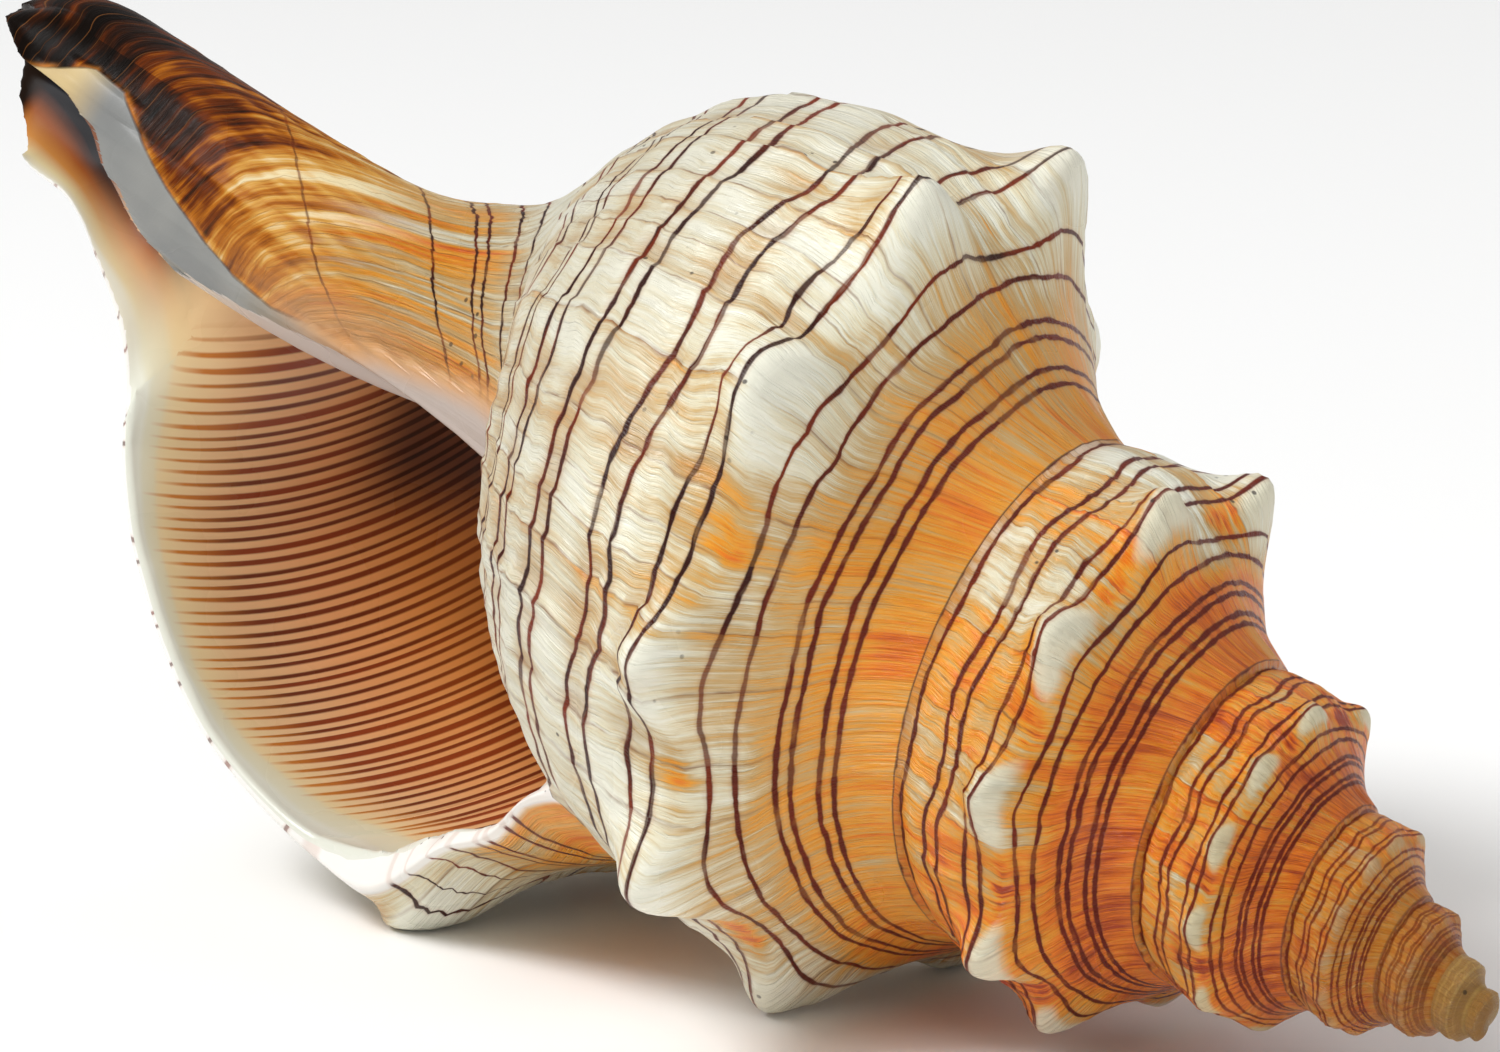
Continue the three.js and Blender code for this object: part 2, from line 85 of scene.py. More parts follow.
# how far the newest growth stands out on the base (by v) and on the canal (by s)
FLARE_V = np.array([[0.55, 0], [0.73, 1.0], [0.92, 0.85], [1.12, 0.5], [1.3, 0.1], [1.5, 0], [1.66, 0.5], [1.76, 1.0], [1.91, 1.0], [2.0, 0.6]])
FLARE_S = np.array([[1850, 0], [1873, 6], [1926, 20], [1963, 20], [1994, 15], [2025, 16],
                    [2047, 15], [2070, 8], [2100, 0]], float)

def clamp01(x): return np.clip(x, 0.0, 1.0)
def smooth(x, a, b):
    t = clamp01((x - a) / (b - a)); return t * t * (3 - 2 * t)
def gauss(x, w): return np.exp(-(x / w) ** 2)
def spline(xk, yk):
    xk = np.asarray(xk, float); yk = np.asarray(yk, float); n = len(xk)
    h = np.diff(xk); A = np.zeros((n, n)); b = np.zeros(n); A[0, 0] = A[-1, -1] = 1
    for i in range(1, n - 1):
        A[i, i - 1] = h[i - 1]; A[i, i] = 2 * (h[i - 1] + h[i]); A[i, i + 1] = h[i]
        b[i] = 6 * ((yk[i + 1] - yk[i]) / h[i] - (yk[i] - yk[i - 1]) / h[i - 1])
    M = np.linalg.solve(A, b)
    def f(x):
        x = np.clip(x, xk[0], xk[-1])
        i = np.clip(np.searchsorted(xk, x, side='right') - 1, 0, n - 2)
        hh = h[i]; a = (xk[i + 1] - x) / hh; c = (x - xk[i]) / hh
        return a * yk[i] + c * yk[i + 1] + ((a ** 3 - a) * M[i] + (c ** 3 - c) * M[i + 1]) * hh * hh / 6
    return f

profile_r = spline(PROFILE[:, 0], PROFILE[:, 1])
profile_s = spline(PROFILE[:, 0], PROFILE[:, 2])
def lean(v): return np.interp(v, LEAN[:, 0], LEAN[:, 1])
def suture_r(t): return SUTURE_R * np.exp(RADIUS_GROWTH * t)
def suture_s(t): return SUTURE_S * np.exp(PITCH_GROWTH * t)
def knob(t, v):
    d = t[..., None] - KNOBS
    i = np.abs(d).argmin(-1)
    d = np.take_along_axis(d, i[..., None], -1)[..., 0]
    w = np.where(v < 0.46, 0.105, np.where(KNOBS[i] > -1.0, 0.14, 0.165))
    return KNOB_UP[i] * gauss(d, KNOB_WIDE[i]) * gauss(v - 0.46, w)
def outside(t, v):
    b = knob(t, v)
    new = gauss(np.minimum(t + LEAN_MAX, 0), 0.45) * np.interp(v, FLARE_V[:, 0], FLARE_V[:, 1])
    r = profile_r(v) + 0.31 * b + 0.042 * new - 0.05 * gauss(t + 4.0, 0.7) * gauss(v - 1.58, 0.25)
    r = r - 0.085 * smooth(t, -1.1, -0.8) * gauss(v - 0.37, 0.14)
    r = r * (1 - np.interp(-t, SLIM[:, 0], SLIM[:, 1]))
    return r * suture_r(t), APEX_S + (profile_s(v) + 0.03 * b + 0.0138 * new) * suture_s(t)

def wrap(a): return (a + pi) % (2 * pi) - pi
def canal_end(az): return np.interp(np.degrees(wrap(az)), END[:, 0], END[:, 2])
def canal_round(az): return np.interp(np.degrees(wrap(az)), END[:, 0], END[:, 1])
def canal_radius(az, s):
    return (98.0 + 16 * gauss(s - 1690, 130) * np.clip(np.cos(az + radians(15)), 0, 1)
            + gauss(wrap(az - radians(13.5)), radians(45)) * np.interp(s, FLARE_S[:, 0], FLARE_S[:, 1]))
def canal(t, w):
    az = LIP_AZ - t
    r2, s2 = outside(t, np.full_like(t, 2.0))
    end = canal_end(az)
    s = np.where(w < 0.55, s2 + (2000 - s2) * (w / 0.55),
                 2000 + (end - 2000) * np.sin(clamp01((w - 0.55) / 0.45) * pi / 2))
    flare = (r2 - canal_radius(az, s2)) * np.exp(-(s - s2) / 66) * (1 - smooth(s, 1900, 2000))
    begin = canal_round(az)
    x = clamp01((s - begin) / (end - begin))
    return (canal_radius(az, s) + flare) * (1 - x * x) ** 0.6, s
def surface(t, v):
    """outside at growth angle t, v 0..2 over the whorl, 2..3 over the canal"""
    r, s = outside(t, np.minimum(v, 2.0))
    rc, sc = canal(t, np.clip(v - 2.0, 0, 1))
    return np.where(v > 2.0, rc, r), np.where(v > 2.0, sc, s)
def place(r, s, az):
    return np.stack([r * np.cos(az), r * np.sin(az), -s], -1)

ROWS_V = np.interp(np.linspace(0, 1, 49), [0, .3, .62, 1], [0, .30, .62, 1.0])
ROWS_B = 1 + np.linspace(0, 1, 35)[1:]
ROWS_C1 = 2 + np.linspace(0, 0.55, 15)[1:-1]
ROWS_C2 = 2 + np.interp(np.linspace(0, 1, 15)[:-1], [0, 1], [0.55, 1.0])
LIP_X = [10.0, 6.5, 4.4, 2.7, 1.4, 0.5]       # extra columns before the lip, units

def skin(relief=None, inset=5.0):
    M = len(ROWS_V) - 1
    nb, c1, c2 = len(ROWS_B), len(ROWS_C1), len(ROWS_C2)
    K = 1 + nb + c1
    coarse = T - 3 * N - 6            # half as many columns and rows before this
    coarse2 = T - 5 * N
    coarse -= coarse % 2; coarse2 -= coarse2 % 2
    cols = [i for i in range(T + 1) if i >= coarse or i % 2 == 0]
    extra = [T - x / (500.0 * DT) for x in LIP_X]
    cols = sorted(set(cols + extra))
    fr = np.array(cols, float)
    tcol = (fr - T) * DT
    P = []; TV = []
    count = 0
    def add(t, v):
        nonlocal count
        t = np.atleast_1d(np.asarray(t, float)); v = np.atleast_1d(np.asarray(v, float)); t = np.broadcast_to(t, v.shape).copy()
        P.append(np.stack([t, v], -1)); k = np.arange(count, count + len(v)); count += len(v); return k
    col_rows = []
    G = {}
    for c, tc in zip(cols, tcol):
        main = float(c).is_integer()
        step = 1 if c >= coarse else (2 if c >= coarse2 else 4)
        rows = list(range(0, M + 1, step))
        if not main: rows = rows[1:]
        need = [j for j in rows if not (j == M and main and c + N - NS <= T)]
        v = ROWS_V[need]
        ids = add(tc - LEAN_MAX * lean(v), v)
        d = dict(zip(need, ids.tolist()))
        G[c] = d
    for c in cols:
        if float(c).is_integer() and c + N - NS <= T:
            G[c][M] = G[c + N - NS][0]
        if not float(c).is_integer():
            G[c][0] = G[T][0] if c > T - 0.5 else G[T - 1][0]
    F = []; C = []     # faces and their corner (t, v)
    tv = {}
    def corner(c, j):
        tc = (c - T) * DT
        return (tc - LEAN_MAX * lean(ROWS_V[j]), ROWS_V[j])
    def tri(ids, cor):
        if ids[0] != ids[1] and ids[1] != ids[2] and ids[0] != ids[2]:
            F.append(ids); C.append(cor)
    for a, b in zip(cols[:-1], cols[1:]):
        ra = sorted(G[a]); rb = sorted(G[b])
        fine, cr = (ra, rb) if len(ra) > len(rb) else (rb, ra)
        sa = set(ra); sb = set(rb)
        both = [j for j in ra if j in sb]
        for j0, j1 in zip(both[:-1], both[1:]):
            left = [j for j in ra if j0 <= j <= j1]; right = [j for j in rb if j0 <= j <= j1]
            mid = None
            if j1 == M and b - a == 2 and (a + 1 + N - NS) in G and a + 1 + N - NS <= T:
                mid = (G[a + 1 + N - NS][0], corner(a + 1, M))
            if len(left) == 2 and len(right) == 2:
                A, B_, C_, D = G[a][j0], G[a][j1], G[b][j1], G[b][j0]
                ca, cb, cc, cd = corner(a, j0), corner(a, j1), corner(b, j1), corner(b, j0)
                if mid is None:
                    tri((A, B_, C_), (ca, cb, cc)); tri((A, C_, D), (ca, cc, cd))
                else:
                    tri((A, B_, mid[0]), (ca, cb, mid[1])); tri((A, mid[0], D), (ca, mid[1], cd)); tri((D, mid[0], C_), (cd, mid[1], cc))
            elif len(right) > 2:
                A, B_ = G[a][j0], G[a][j1]
                for p, q in zip(right[:-1], right[1:]):
                    tri((A, G[b][q], G[b][p]), (corner(a, j0), corner(b, q), corner(b, p)))
                if mid is None:
                    tri((A, B_, G[b][j1]), (corner(a, j0), corner(a, j1), corner(b, j1)))
                else:
                    tri((A, B_, mid[0]), (corner(a, j0), corner(a, j1), mid[1])); tri((A, mid[0], G[b][j1]), (corner(a, j0), mid[1], corner(b, j1)))
            else:
                raise ValueError('unexpected')
    # base, neck and canal of the last turn
    hcols = [c for c in cols if c >= T - N]
    hv = np.concatenate([[1.0], ROWS_B, ROWS_C1, ROWS_C2])
    full = len(hv); H = []
    for c in hcols:
        a = c - (T - N); main = float(c).is_integer()
        tb = (c - T) * DT - LEAN_MAX
        col = [G[c][M]]
        js = []
        for j in range(1, full):
            if j < 1 + nb and a < NS and j < NS - a: js.append(None)
            elif j >= K and c == T: js.append(-1)
            else: js.append(j)
        ks = [j for j in js if j not in (None, -1)]
        ids = dict(zip(ks, add(np.full(len(ks), tb), hv[ks]).tolist()))
        for j in range(1, full):
            x = js[j - 1]
            col.append(-9 if x is None else (H[0][j] if x == -1 else ids[j]))
        H.append(col)
    tip_id = count; count += 1
    P.append(np.array([[-LEAN_MAX - pi, 3.0]]))
    hc = lambda k, j: (((hcols[k] - T) * DT - LEAN_MAX), hv[j])
    for k in range(len(hcols) - 1):
        a = hcols[k] - (T - N)
        for j in range(full - 1):
            if a < NS:
                jp = NS - int(a)
                if j < jp - 1: continue
                if j == jp - 1:
                    tri((H[k][jp], H[k + 1][jp], H[k + 1][jp - 1]), (hc(k, jp), hc(k + 1, jp), hc(k + 1, jp - 1))); continue
            A, B_, C_, D = H[k][j], H[k][j + 1], H[k + 1][j + 1], H[k + 1][j]
            tri((A, B_, C_), (hc(k, j), hc(k, j + 1), hc(k + 1, j + 1))); tri((A, C_, D), (hc(k, j), hc(k + 1, j + 1), hc(k + 1, j)))
        tri((H[k][full - 1], tip_id, H[k + 1][full - 1]), (hc(k, full - 1), (hc(k, full - 1)[0], 3.0), hc(k + 1, full - 1)))
    nout = len(F)
    PT = np.concatenate(P); t = PT[:, 0]; v = PT[:, 1]
    r, s = surface(t, v)
    # outward normal in the (r, s) half plane, for relief and the rounded lip
    e = 1e-3
    r1, s1 = surface(t, np.minimum(v + e, 2.999)); r0, s0 = surface(t, np.maximum(v - e, 0))
    L = np.hypot(r1 - r0, s1 - s0) + 1e-9
    nr, ns_ = (s1 - s0) / L, -(r1 - r0) / L
    tc = t + LEAN_MAX * lean(np.minimum(v, 1.0))
    x = np.maximum(-tc, 0) * 500.0
    ins = np.where((x < inset) & (v < 2.5), inset * (1 - np.sqrt(clamp01(1 - (1 - x / inset) ** 2))), 0.0)
    # the rounding is around the edge of the last column only; it fades at the suture
    ins *= smooth(v, 0.0, 0.10)
    h = -ins
    if relief is not None: h = h + relief(t, v, r, s)
    r = r + nr * h; s = s + ns_ * h
    V = place(r, s, LIP_AZ - t)
    V[tip_id] = [0, 0, -float(canal_end(pi / 2))]
    # face of the growing edge
    lip = [G[T][j] for j in range(M + 1)] + [H[-1][j] for j in range(1, K)] + [H[0][K]]
    lipc = [corner(T, j) for j in range(M + 1)] + [hc(len(hcols) - 1, j) for j in range(1, K + 1)]
    inner = [H[NS - q][q] for q in range(NS + 1)] + [H[0][j] for j in range(NS + 1, K + 1)]
    assert lip[0] == inner[0] and lip[-1] == inner[-1], (lip[0], inner[0], lip[-1], inner[-1])
    i = j = 0
    while i < len(lip) - 1 or j < len(inner) - 1:
        di = np.linalg.norm(V[lip[i + 1]] - V[inner[j]]) if i < len(lip) - 1 else 1e18
        dj = np.linalg.norm(V[lip[i]] - V[inner[j + 1]]) if j < len(inner) - 1 else 1e18
        if di <= dj: tri((lip[i], lip[i + 1], inner[j]), (lipc[i], lipc[i + 1], lipc[i])); i += 1
        else: tri((lip[i], inner[j + 1], inner[j]), (lipc[i], lipc[i], lipc[i])); j += 1
    nstep = len(F)
    # worn apex
    first = cols[0]
    rim = []; rc = []
    for c in cols:
        if c > N - NS: break
        rim.append(G[c][0]); rc.append(corner(c, 0))
    rows0 = sorted(G[first])[::-1]
    for rj in rows0[1:-1]:
        rim.append(G[first][rj]); rc.append(corner(first, rj))
    ztop = max(V[k][2] for k in rim) + 4
    V = np.vstack([V, [[0, 0, ztop]]]); top = len(V) - 1
    for k in range(len(rim)):
        a, b = k, (k + 1) % len(rim)
        tri((rim[a], rim[b], top), (rc[a], rc[b], rc[a]))
    F = np.array(F); C = np.array(C)
    src = np.zeros(len(F), int); src[nout:nstep] = 1; src[nstep:] = 2
    used = np.unique(F); mp = -np.ones(len(V), int); mp[used] = np.arange(len(used))
    return V[used], mp[F], C, src

# --------------------------------------------------------------- the hollow
WALL, LIP_THIN, GLAZE = 22.0, 9.0, 9.0
COLUMELLA = np.array([[1200, 60], [1262, 66], [1330, 68], [1400, 73], [1460, 85], [1550, 101],
                      [1620, 110], [1700, 116], [1740, 114], [1800, 108], [1900, 100], [2000, 95]], float)
_bv = np.linspace(1, 2, 101); _bs = profile_s(_bv); _br = profile_r(_bv)
def older_r(t, s):
    t2 = t - 2 * pi
    sn = (s - APEX_S) / suture_s(t2)
    end_s, end_r = _bs[-1] * suture_s(t2), _br[-1] * suture_r(t2)
    return np.where(sn <= _bs[-1], np.interp(sn, _bs, _br) * suture_r(t2),
                    60 + (end_r - 60) * np.exp(-np.maximum(s - APEX_S - end_s, 0) / 80))
def columella_r(t, s):
    k = t + 0.45
    return np.interp(APEX_S + (s - APEX_S) * np.exp(-PITCH_GROWTH * k), COLUMELLA[:, 0], COLUMELLA[:, 1]) * np.exp(RADIUS_GROWTH * k)
def soft_max(a, b, k):
    d = np.clip(0.5 + 0.5 * (a - b) / k, 0, 1)
    return b + (a - b) * d + k * d * (1 - d) * 0.5

LIRA = 13.6         # spacing of the inner threads, units
def _outer_rows():
    v = np.linspace(0.05, 1.97, 2000)
    r, s = outside(np.full_like(v, -0.3) - LEAN_MAX * lean(v), v)
    a = np.r_[0, np.cumsum(np.hypot(np.diff(r), np.diff(s)))]
    gap = np.repeat(np.random.default_rng(5).uniform(0.74, 1.26, int(a[-1] / LIRA)), 2)
    at = np.r_[0, np.cumsum(gap)]
    return np.interp(at / at[-1] * a[-1], a, v)
LIRA_V = _outer_rows()
def hollow(turns=1.35, inset=5.0, fine=True):
    vo = LIRA_V if fine else LIRA_V[::12]
    n_in = 26 if fine else 12
    ts = [1.05, 0.8, 0.6, 0.42, 0.25, 0.12, 0.05, 0.012] + [0.0] + [-x / 500 for x in LIP_X[::-1]]
    t = -0.04
    while t > -2 * pi * turns:
        ts.append(t); t -= 0.034 if t > -1.0 else (0.06 if t > -1.9 else 0.22)
    ts = np.array(ts)
    rings = []; cor = []
    e = 1e-3
    row = np.arange(len(vo))
    for t in ts:
        tp = t - LEAN_MAX * lean(vo)
        r, s = outside(tp, vo); r1, s1 = outside(tp, vo + e); r0, s0 = outside(tp, vo - e)
        L = np.hypot(r1 - r0, s1 - s0)
        nr, ns_ = (s1 - s0) / L, -(r1 - r0) / L
        x = max(-t, 0) * 500
        near = np.exp(-max(-t, 0) / 0.16)
        th = (WALL - LIP_THIN * near) * np.exp(RADIUS_GROWTH * (tp + 0.63)) + 0.22 * knob(tp, vo) * suture_r(tp) + 22 * gauss(vo - 0.52, 0.22) * np.exp(-max(-t, 0) / 0.5)
        if x < inset: th = th - inset * (1 - np.sqrt(max(0, 1 - (1 - x / inset) ** 2)))
        if fine: th = th + 1.1 * np.where(row % 2 == 0, 1, -1) * smooth(x, 12, 70) * (1 - 0.6 * smooth(x, 500, 900)) * (1 - smooth(vo, 1.72, 1.86))
        rr, ss = r - nr * th, s - ns_ * th
        outer = place(rr, ss, LIP_AZ - tp)
        u = 1 - (np.arange(n_in) + 1) / (n_in + 1)
        s_in = ss[0] + (ss[-1] - ss[0]) * u
        ti = t - LEAN_MAX * smooth(u, 0, 0.3)
        ri = soft_max(older_r(ti, s_in) + GLAZE * np.exp(RADIUS_GROWTH * ti), columella_r(ti, s_in), 10.0) + 90 * smooth(ti, 0.05, 0.42)
        inner = place(ri, s_in, LIP_AZ - ti)
        rings.append(np.vstack([outer, inner]))
        cor.append(np.vstack([np.stack([np.full(len(vo), t), row / 2.0], -1), np.stack([np.full(n_in, t), u], -1)]))
    return ring_mesh(rings, cor, len(vo))

def ring_mesh(rings, cor, nout):
    """closed skin over rings; returns V, F, corner data, src (3 outer wall, 4 inner wall, 5 ends)"""
    n = len(rings[0]); K = len(rings)
    V = np.vstack(rings); A = np.vstack(cor)
    j = np.arange(n); jn = (j + 1) % n
    F = []; S = []
    s_ = np.where((j < nout - 1), 3, 4)
    for k in range(K - 1):
        a = k * n + j; b = k * n + jn
        F.append(np.stack([a, a + n, b + n], -1)); F.append(np.stack([a, b + n, b], -1)); S += [s_, s_]
    F = np.vstack(F); S = np.concatenate(S)
    extra = []
    for k, flip in ((0, True), (K - 1, False)):
        # ends: strips across the ring between the outer wall and the inner wall
        ring = V[k * n:(k + 1) * n]
        i0, i1 = 0, nout - 1            # outer wall ends
        P = list(range(0, nout)); Q = [0] + list(range(n - 1, nout - 1, -1)) + [nout - 1]
        i = q = 0
        while i < len(P) - 1 or q < len(Q) - 1:
            di = np.linalg.norm(ring[P[i + 1]] - ring[Q[q]]) if i < len(P) - 1 else 1e18
            dj = np.linalg.norm(ring[P[i]] - ring[Q[q + 1]]) if q < len(Q) - 1 else 1e18
            if di <= dj: t3 = (P[i], P[i + 1], Q[q]); i += 1
            else: t3 = (P[i], Q[q + 1], Q[q]); q += 1
            if len(set(t3)) == 3:
                t3 = tuple(k * n + x for x in t3)
                extra.append(t3 if flip else (t3[0], t3[2], t3[1]))
    extra = np.array(extra)
    F = np.vstack([F, extra]); S = np.concatenate([S, np.full(len(extra), 5)])
    return V, F, A[F], S

CHANNEL = np.array([
    [1600, 98, 80, 36], [1660, 92, 70, 44], [1720, 82, 55, 52],
    [1780, 70, 36, 60], [1850, 54, 6, 68], [1920, 43, -15, 73],
    [1980, 39, -23, 75], [2060, 39, -25, 75], [2120, 39, -26, 76],
    [2240, 42, -30, 80]], float)
LIP_EDGE = LIP_AZ + LEAN_MAX              # azimuth of the lip along the canal
def outer_radius(s, az):
    """radius of the outer skin at distance s on the newest base and canal"""
    t = LIP_AZ - az
    q = np.r_[np.linspace(1.4, 2.0, 40), 2 + np.linspace(0.01, 0.55, 30)]
    r, ss = surface(np.full_like(q, t), q)
    return np.interp(s, ss, r)
def channel(n1=14, n2=30, step=12.0):
    """open channel of the canal, running up into the mouth; rings of constant s"""
    f = [spline(CHANNEL[:, 0], CHANNEL[:, c]) for c in (1, 2, 3)]
    rings = []; cor = []
    for s in np.arange(1600, 2241, step, dtype=float):
        cx, cy, r = f[0](s), f[1](s), f[2](s)
        cr, ca = np.hypot(cx, cy), np.arctan2(cy, cx)
        m = smooth(s, 1730, 1800)
        # side behind the lip: azimuths from the lip edge
        reach = min(radians(75), ca + 0.85 * np.arcsin(min(1.0, r / cr)) if cr > r else radians(75))
        az = LIP_EDGE + radians(0.5) + (reach - LIP_EDGE) * np.linspace(0, 1, n1)
        def far(a):
            b = cx * np.cos(a) + cy * np.sin(a)
            return b + np.sqrt(np.maximum(r * r - (cr * cr - b * b), 0))
        sw = min(s, 2010.0)
        wall = np.interp(s, [1800, 1850, 1950], [17, 13, 9]) + 26 * smooth(az, LIP_EDGE, radians(62))
        skin_r = np.array([outer_radius(sw, a) for a in az])
        R = soft_max(np.minimum(far(az), skin_r - 8), skin_r - wall, 8.0)
        R = far(az) + (R - far(az)) * m
        A1 = np.stack([R * np.cos(az), R * np.sin(az)], -1)
        # round the back of the channel to the inner lip
        p0 = np.arctan2(A1[-1, 1] - cy, A1[-1, 0] - cx)
        RK = np.interp(s, [1760, 1930], [110.0, 97.0])
        cosd = (RK * RK + cr * cr - r * r) / (2 * RK * cr)
        aK = ca - np.arccos(np.clip(cosd, -1, 1))
        pK = np.arctan2(RK * np.sin(aK) - cy, RK * np.cos(aK) - cx)
        pK = p0 + (pK - p0) % (2 * pi)
        ph = p0 + (pK - p0) * np.linspace(0, 1, n2 + 1)[1:]
        d0 = np.hypot(A1[-1, 0] - cx, A1[-1, 1] - cy)
        rr = r + (d0 - r) * (1 - smooth(ph, p0, p0 + 0.6))
        A2 = np.stack([cx + rr * np.cos(ph), cy + rr * np.sin(ph)], -1)
        # the open side
        RB = np.hypot(*A1[0]) + 45
        ab = np.array([aK - radians(2), aK * 0.5 + LIP_EDGE * 0.5, LIP_EDGE + radians(0.4)])
        B = np.stack([RB * np.cos(ab), RB * np.sin(ab)], -1)
        C0 = np.stack([cx + r * np.cos(ph[-1] + np.array([0.25, 0.5, 0.75]) * ((np.arctan2(A1[0, 1] - cy, A1[0, 0] - cx) - ph[-1]) % (2 * pi))),
                       cy + r * np.sin(ph[-1] + np.array([0.25, 0.5, 0.75]) * ((np.arctan2(A1[0, 1] - cy, A1[0, 0] - cx) - ph[-1]) % (2 * pi)))], -1)
        B = C0 + (B - C0) * m
        ring = np.vstack([A1, A2, B])
        rings.append(np.column_stack([ring, np.full(len(ring), -s)]))
        u = np.r_[np.linspace(0, 0.3, n1), np.linspace(0.3, 1, n2 + 1)[1:], [1, 1, 1]]
        cor.append(np.stack([u, np.full(len(ring), s)], -1))
    n = len(rings[0])
    V = np.vstack(rings); A = np.vstack(cor); K = len(rings); j = np.arange(n); jn = (j + 1) % n
    F = []
    for k in range(K - 1):
        p = k * n + j; q = k * n + jn
        F.append(np.stack([p, p + n, q + n], -1)); F.append(np.stack([p, q + n, q], -1))
    F = np.vstack(F)
    f_ = [spline(CHANNEL[:, 0], CHANNEL[:, c]) for c in (1, 2)]
    ends = np.array([[f_[0](1600.0), f_[1](1600.0), -1600.0], [f_[0](2240.0), f_[1](2240.0), rings[-1][0, 2]]])
    c0, c1 = len(V), len(V) + 1
    V = np.vstack([V, ends]); A = np.vstack([A, A[0], A[-1]])
    e0 = np.stack([j, jn, np.full(n, c0)], -1); e1 = np.stack([(K - 1) * n + jn, (K - 1) * n + j, np.full(n, c1)], -1)
    F = np.vstack([F, e0, e1])
    return V, F, A[F], np.full(len(F), 6)

# ------------------------------------------------------- growth and markings
rng = np.random.default_rng(71)
# growth rests, as growth angles of their lines; some are set, the rest uneven
SET_RESTS = np.array([-5.99, -5.83, -5.615, -5.443, -5.34, -5.245, -5.115, -4.888, -4.70,
                      -4.59, -4.50, -4.39, -4.217]) + 0.35
RESTS = [0.0]
while RESTS[-1] > -47:
    RESTS.append(RESTS[-1] - rng.uniform(0.07, 0.24))
RESTS = np.array(RESTS)
RESTS = RESTS[(RESTS > SET_RESTS.max() + 0.09) | (RESTS < SET_RESTS.min() - 0.09)]
RESTS = np.sort(np.r_[RESTS, SET_RESTS])
STEP_UP = rng.uniform(0.2, 1.0, len(RESTS))
BEND_T = np.array([-6.3, -5.9, -5.5, -5.1, -4.7, -4.3, -3.9, -3.6])
BEND_S = np.arange(1250.0, 2101.0, 85.0)
BEND = np.array([
    [0, 0.03, 0.14, 0.43, 1.01, 1.75, 2.40, 3.10, 3.90, 4.60, 5.20],
    [0, 0.03, 0.12, 0.35, 0.80, 1.49, 2.20, 2.95, 3.75, 4.50, 5.10],
    [0, 0.03, 0.11, 0.30, 0.65, 1.21, 1.98, 2.80, 3.60, 4.30, 4.90],
    [0, 0.03, 0.11, 0.27, 0.56, 1.02, 1.69, 2.50, 3.25, 3.90, 4.50],
    [0, 0.03, 0.10, 0.25, 0.50, 0.89, 1.43, 2.12, 2.85, 3.50, 4.10],
    [0, 0.02, 0.08, 0.23, 0.47, 0.82, 1.27, 1.84, 2.45, 3.00, 3.50],
    [0, 0.01, 0.06, 0.21, 0.46, 0.80, 1.22, 1.70, 2.20, 2.70, 3.15],
    [0, 0.01, 0.06, 0.21, 0.48, 0.84, 1.26, 1.70, 2.13, 2.52, 2.85]])
_t = np.linspace(-6.3, -3.6, 55); _s = np.linspace(1250, 2100, 86)
_a = np.stack([spline(BEND_T, BEND[:, j])(_t) for j in range(11)], -1)
BEND_FINE = np.stack([spline(BEND_S, _a[i])(_s) for i in range(55)])
def wave(x, seed):
    """smooth uneven wave of one variable, about -1 to 1"""
    k = np.floor(x); f = x - k; f = f * f * (3 - 2 * f)
    def h(n): return (np.sin(n * 127.1 + seed * 311.7) * 43758.5453) % 1.0 * 2 - 1
    return h(k) * (1 - f) + h(k + 1) * f
def growth_angle(t, v, s):
    """the same all along one growth line"""
    tc = t + LEAN_MAX * lean(np.minimum(v, 1.0))
    near = np.exp(np.minimum(tc, 0) / 0.8)
    g = t + np.interp(v, [0, 0.3, 0.45], [0, 0.28, 0.35]) * (1 - near) + LEAN_MAX * lean(np.minimum(v, 1.0)) * near
    i = np.clip((t + 6.3) / 0.05, 0, 53.999); j = np.clip((s - 1250) / 10.0, 0, 84.999)
    a, b = np.floor(i).astype(int), np.floor(j).astype(int); x, y = i - a, j - b
    B = BEND_FINE
    bend = B[a, b] * (1 - x) * (1 - y) + B[a + 1, b] * x * (1 - y) + B[a, b + 1] * (1 - x) * y + B[a + 1, b + 1] * x * y
    g = g + bend * smooth(-t, 1.2, 3.0) * smooth(v, 1.8, 2.0)
    uneven = 0.014 * wave(v * 8 + 1.7 * np.sin(t * 2.1), 11.0) + 0.008 * wave(v * 21 + 2.9 * np.sin(t * 3.3 + 1), 12.0)
    return g + uneven * smooth(-tc, 0.0, 0.25) * smooth(v, 0.05, 0.3)
def growth_count(g):
    return np.interp(g, RESTS, np.arange(len(RESTS), dtype=float))

# outer edge of the callus on the canal: distance s, azimuth in degrees
CALLUS = np.array([[2062, -76], [2039, -79], [2015, -84], [1985, -93], [1959, -101], [1937, -105], [1911, -102],
                   [1888, -95], [1862, -86], [1829, -76], [1796, -68], [1757, -61], [1720, -54], [1680, -46],
                   [1632, -39], [1590, -41], [1549, -43], [1500, -46], [1457, -56], [1388, -64], [1348, -71],
                   [1299, -75], [1240, -76], [1180, -70]], float)[::-1]
def callus_distance(az, s):
    """units from the callus edge along the surface, positive on the callus"""
    P = np.stack([np.degrees(wrap(az)) * 1.75, s], -1)
    Q = np.stack([CALLUS[:, 1] * 1.75, CALLUS[:, 0]], -1)
    best = np.full(P.shape[:-1], 1e9)
    for a, b in zip(Q[:-1], Q[1:]):
        d = b - a
        k = np.clip(((P - a) @ d) / (d @ d), 0, 1)
        best = np.minimum(best, np.linalg.norm(P - a - k[..., None] * d, axis=-1))
    inside = P[..., 0] > np.interp(P[..., 1], Q[:, 1], Q[:, 0])
    return np.where(inside, best, -best)
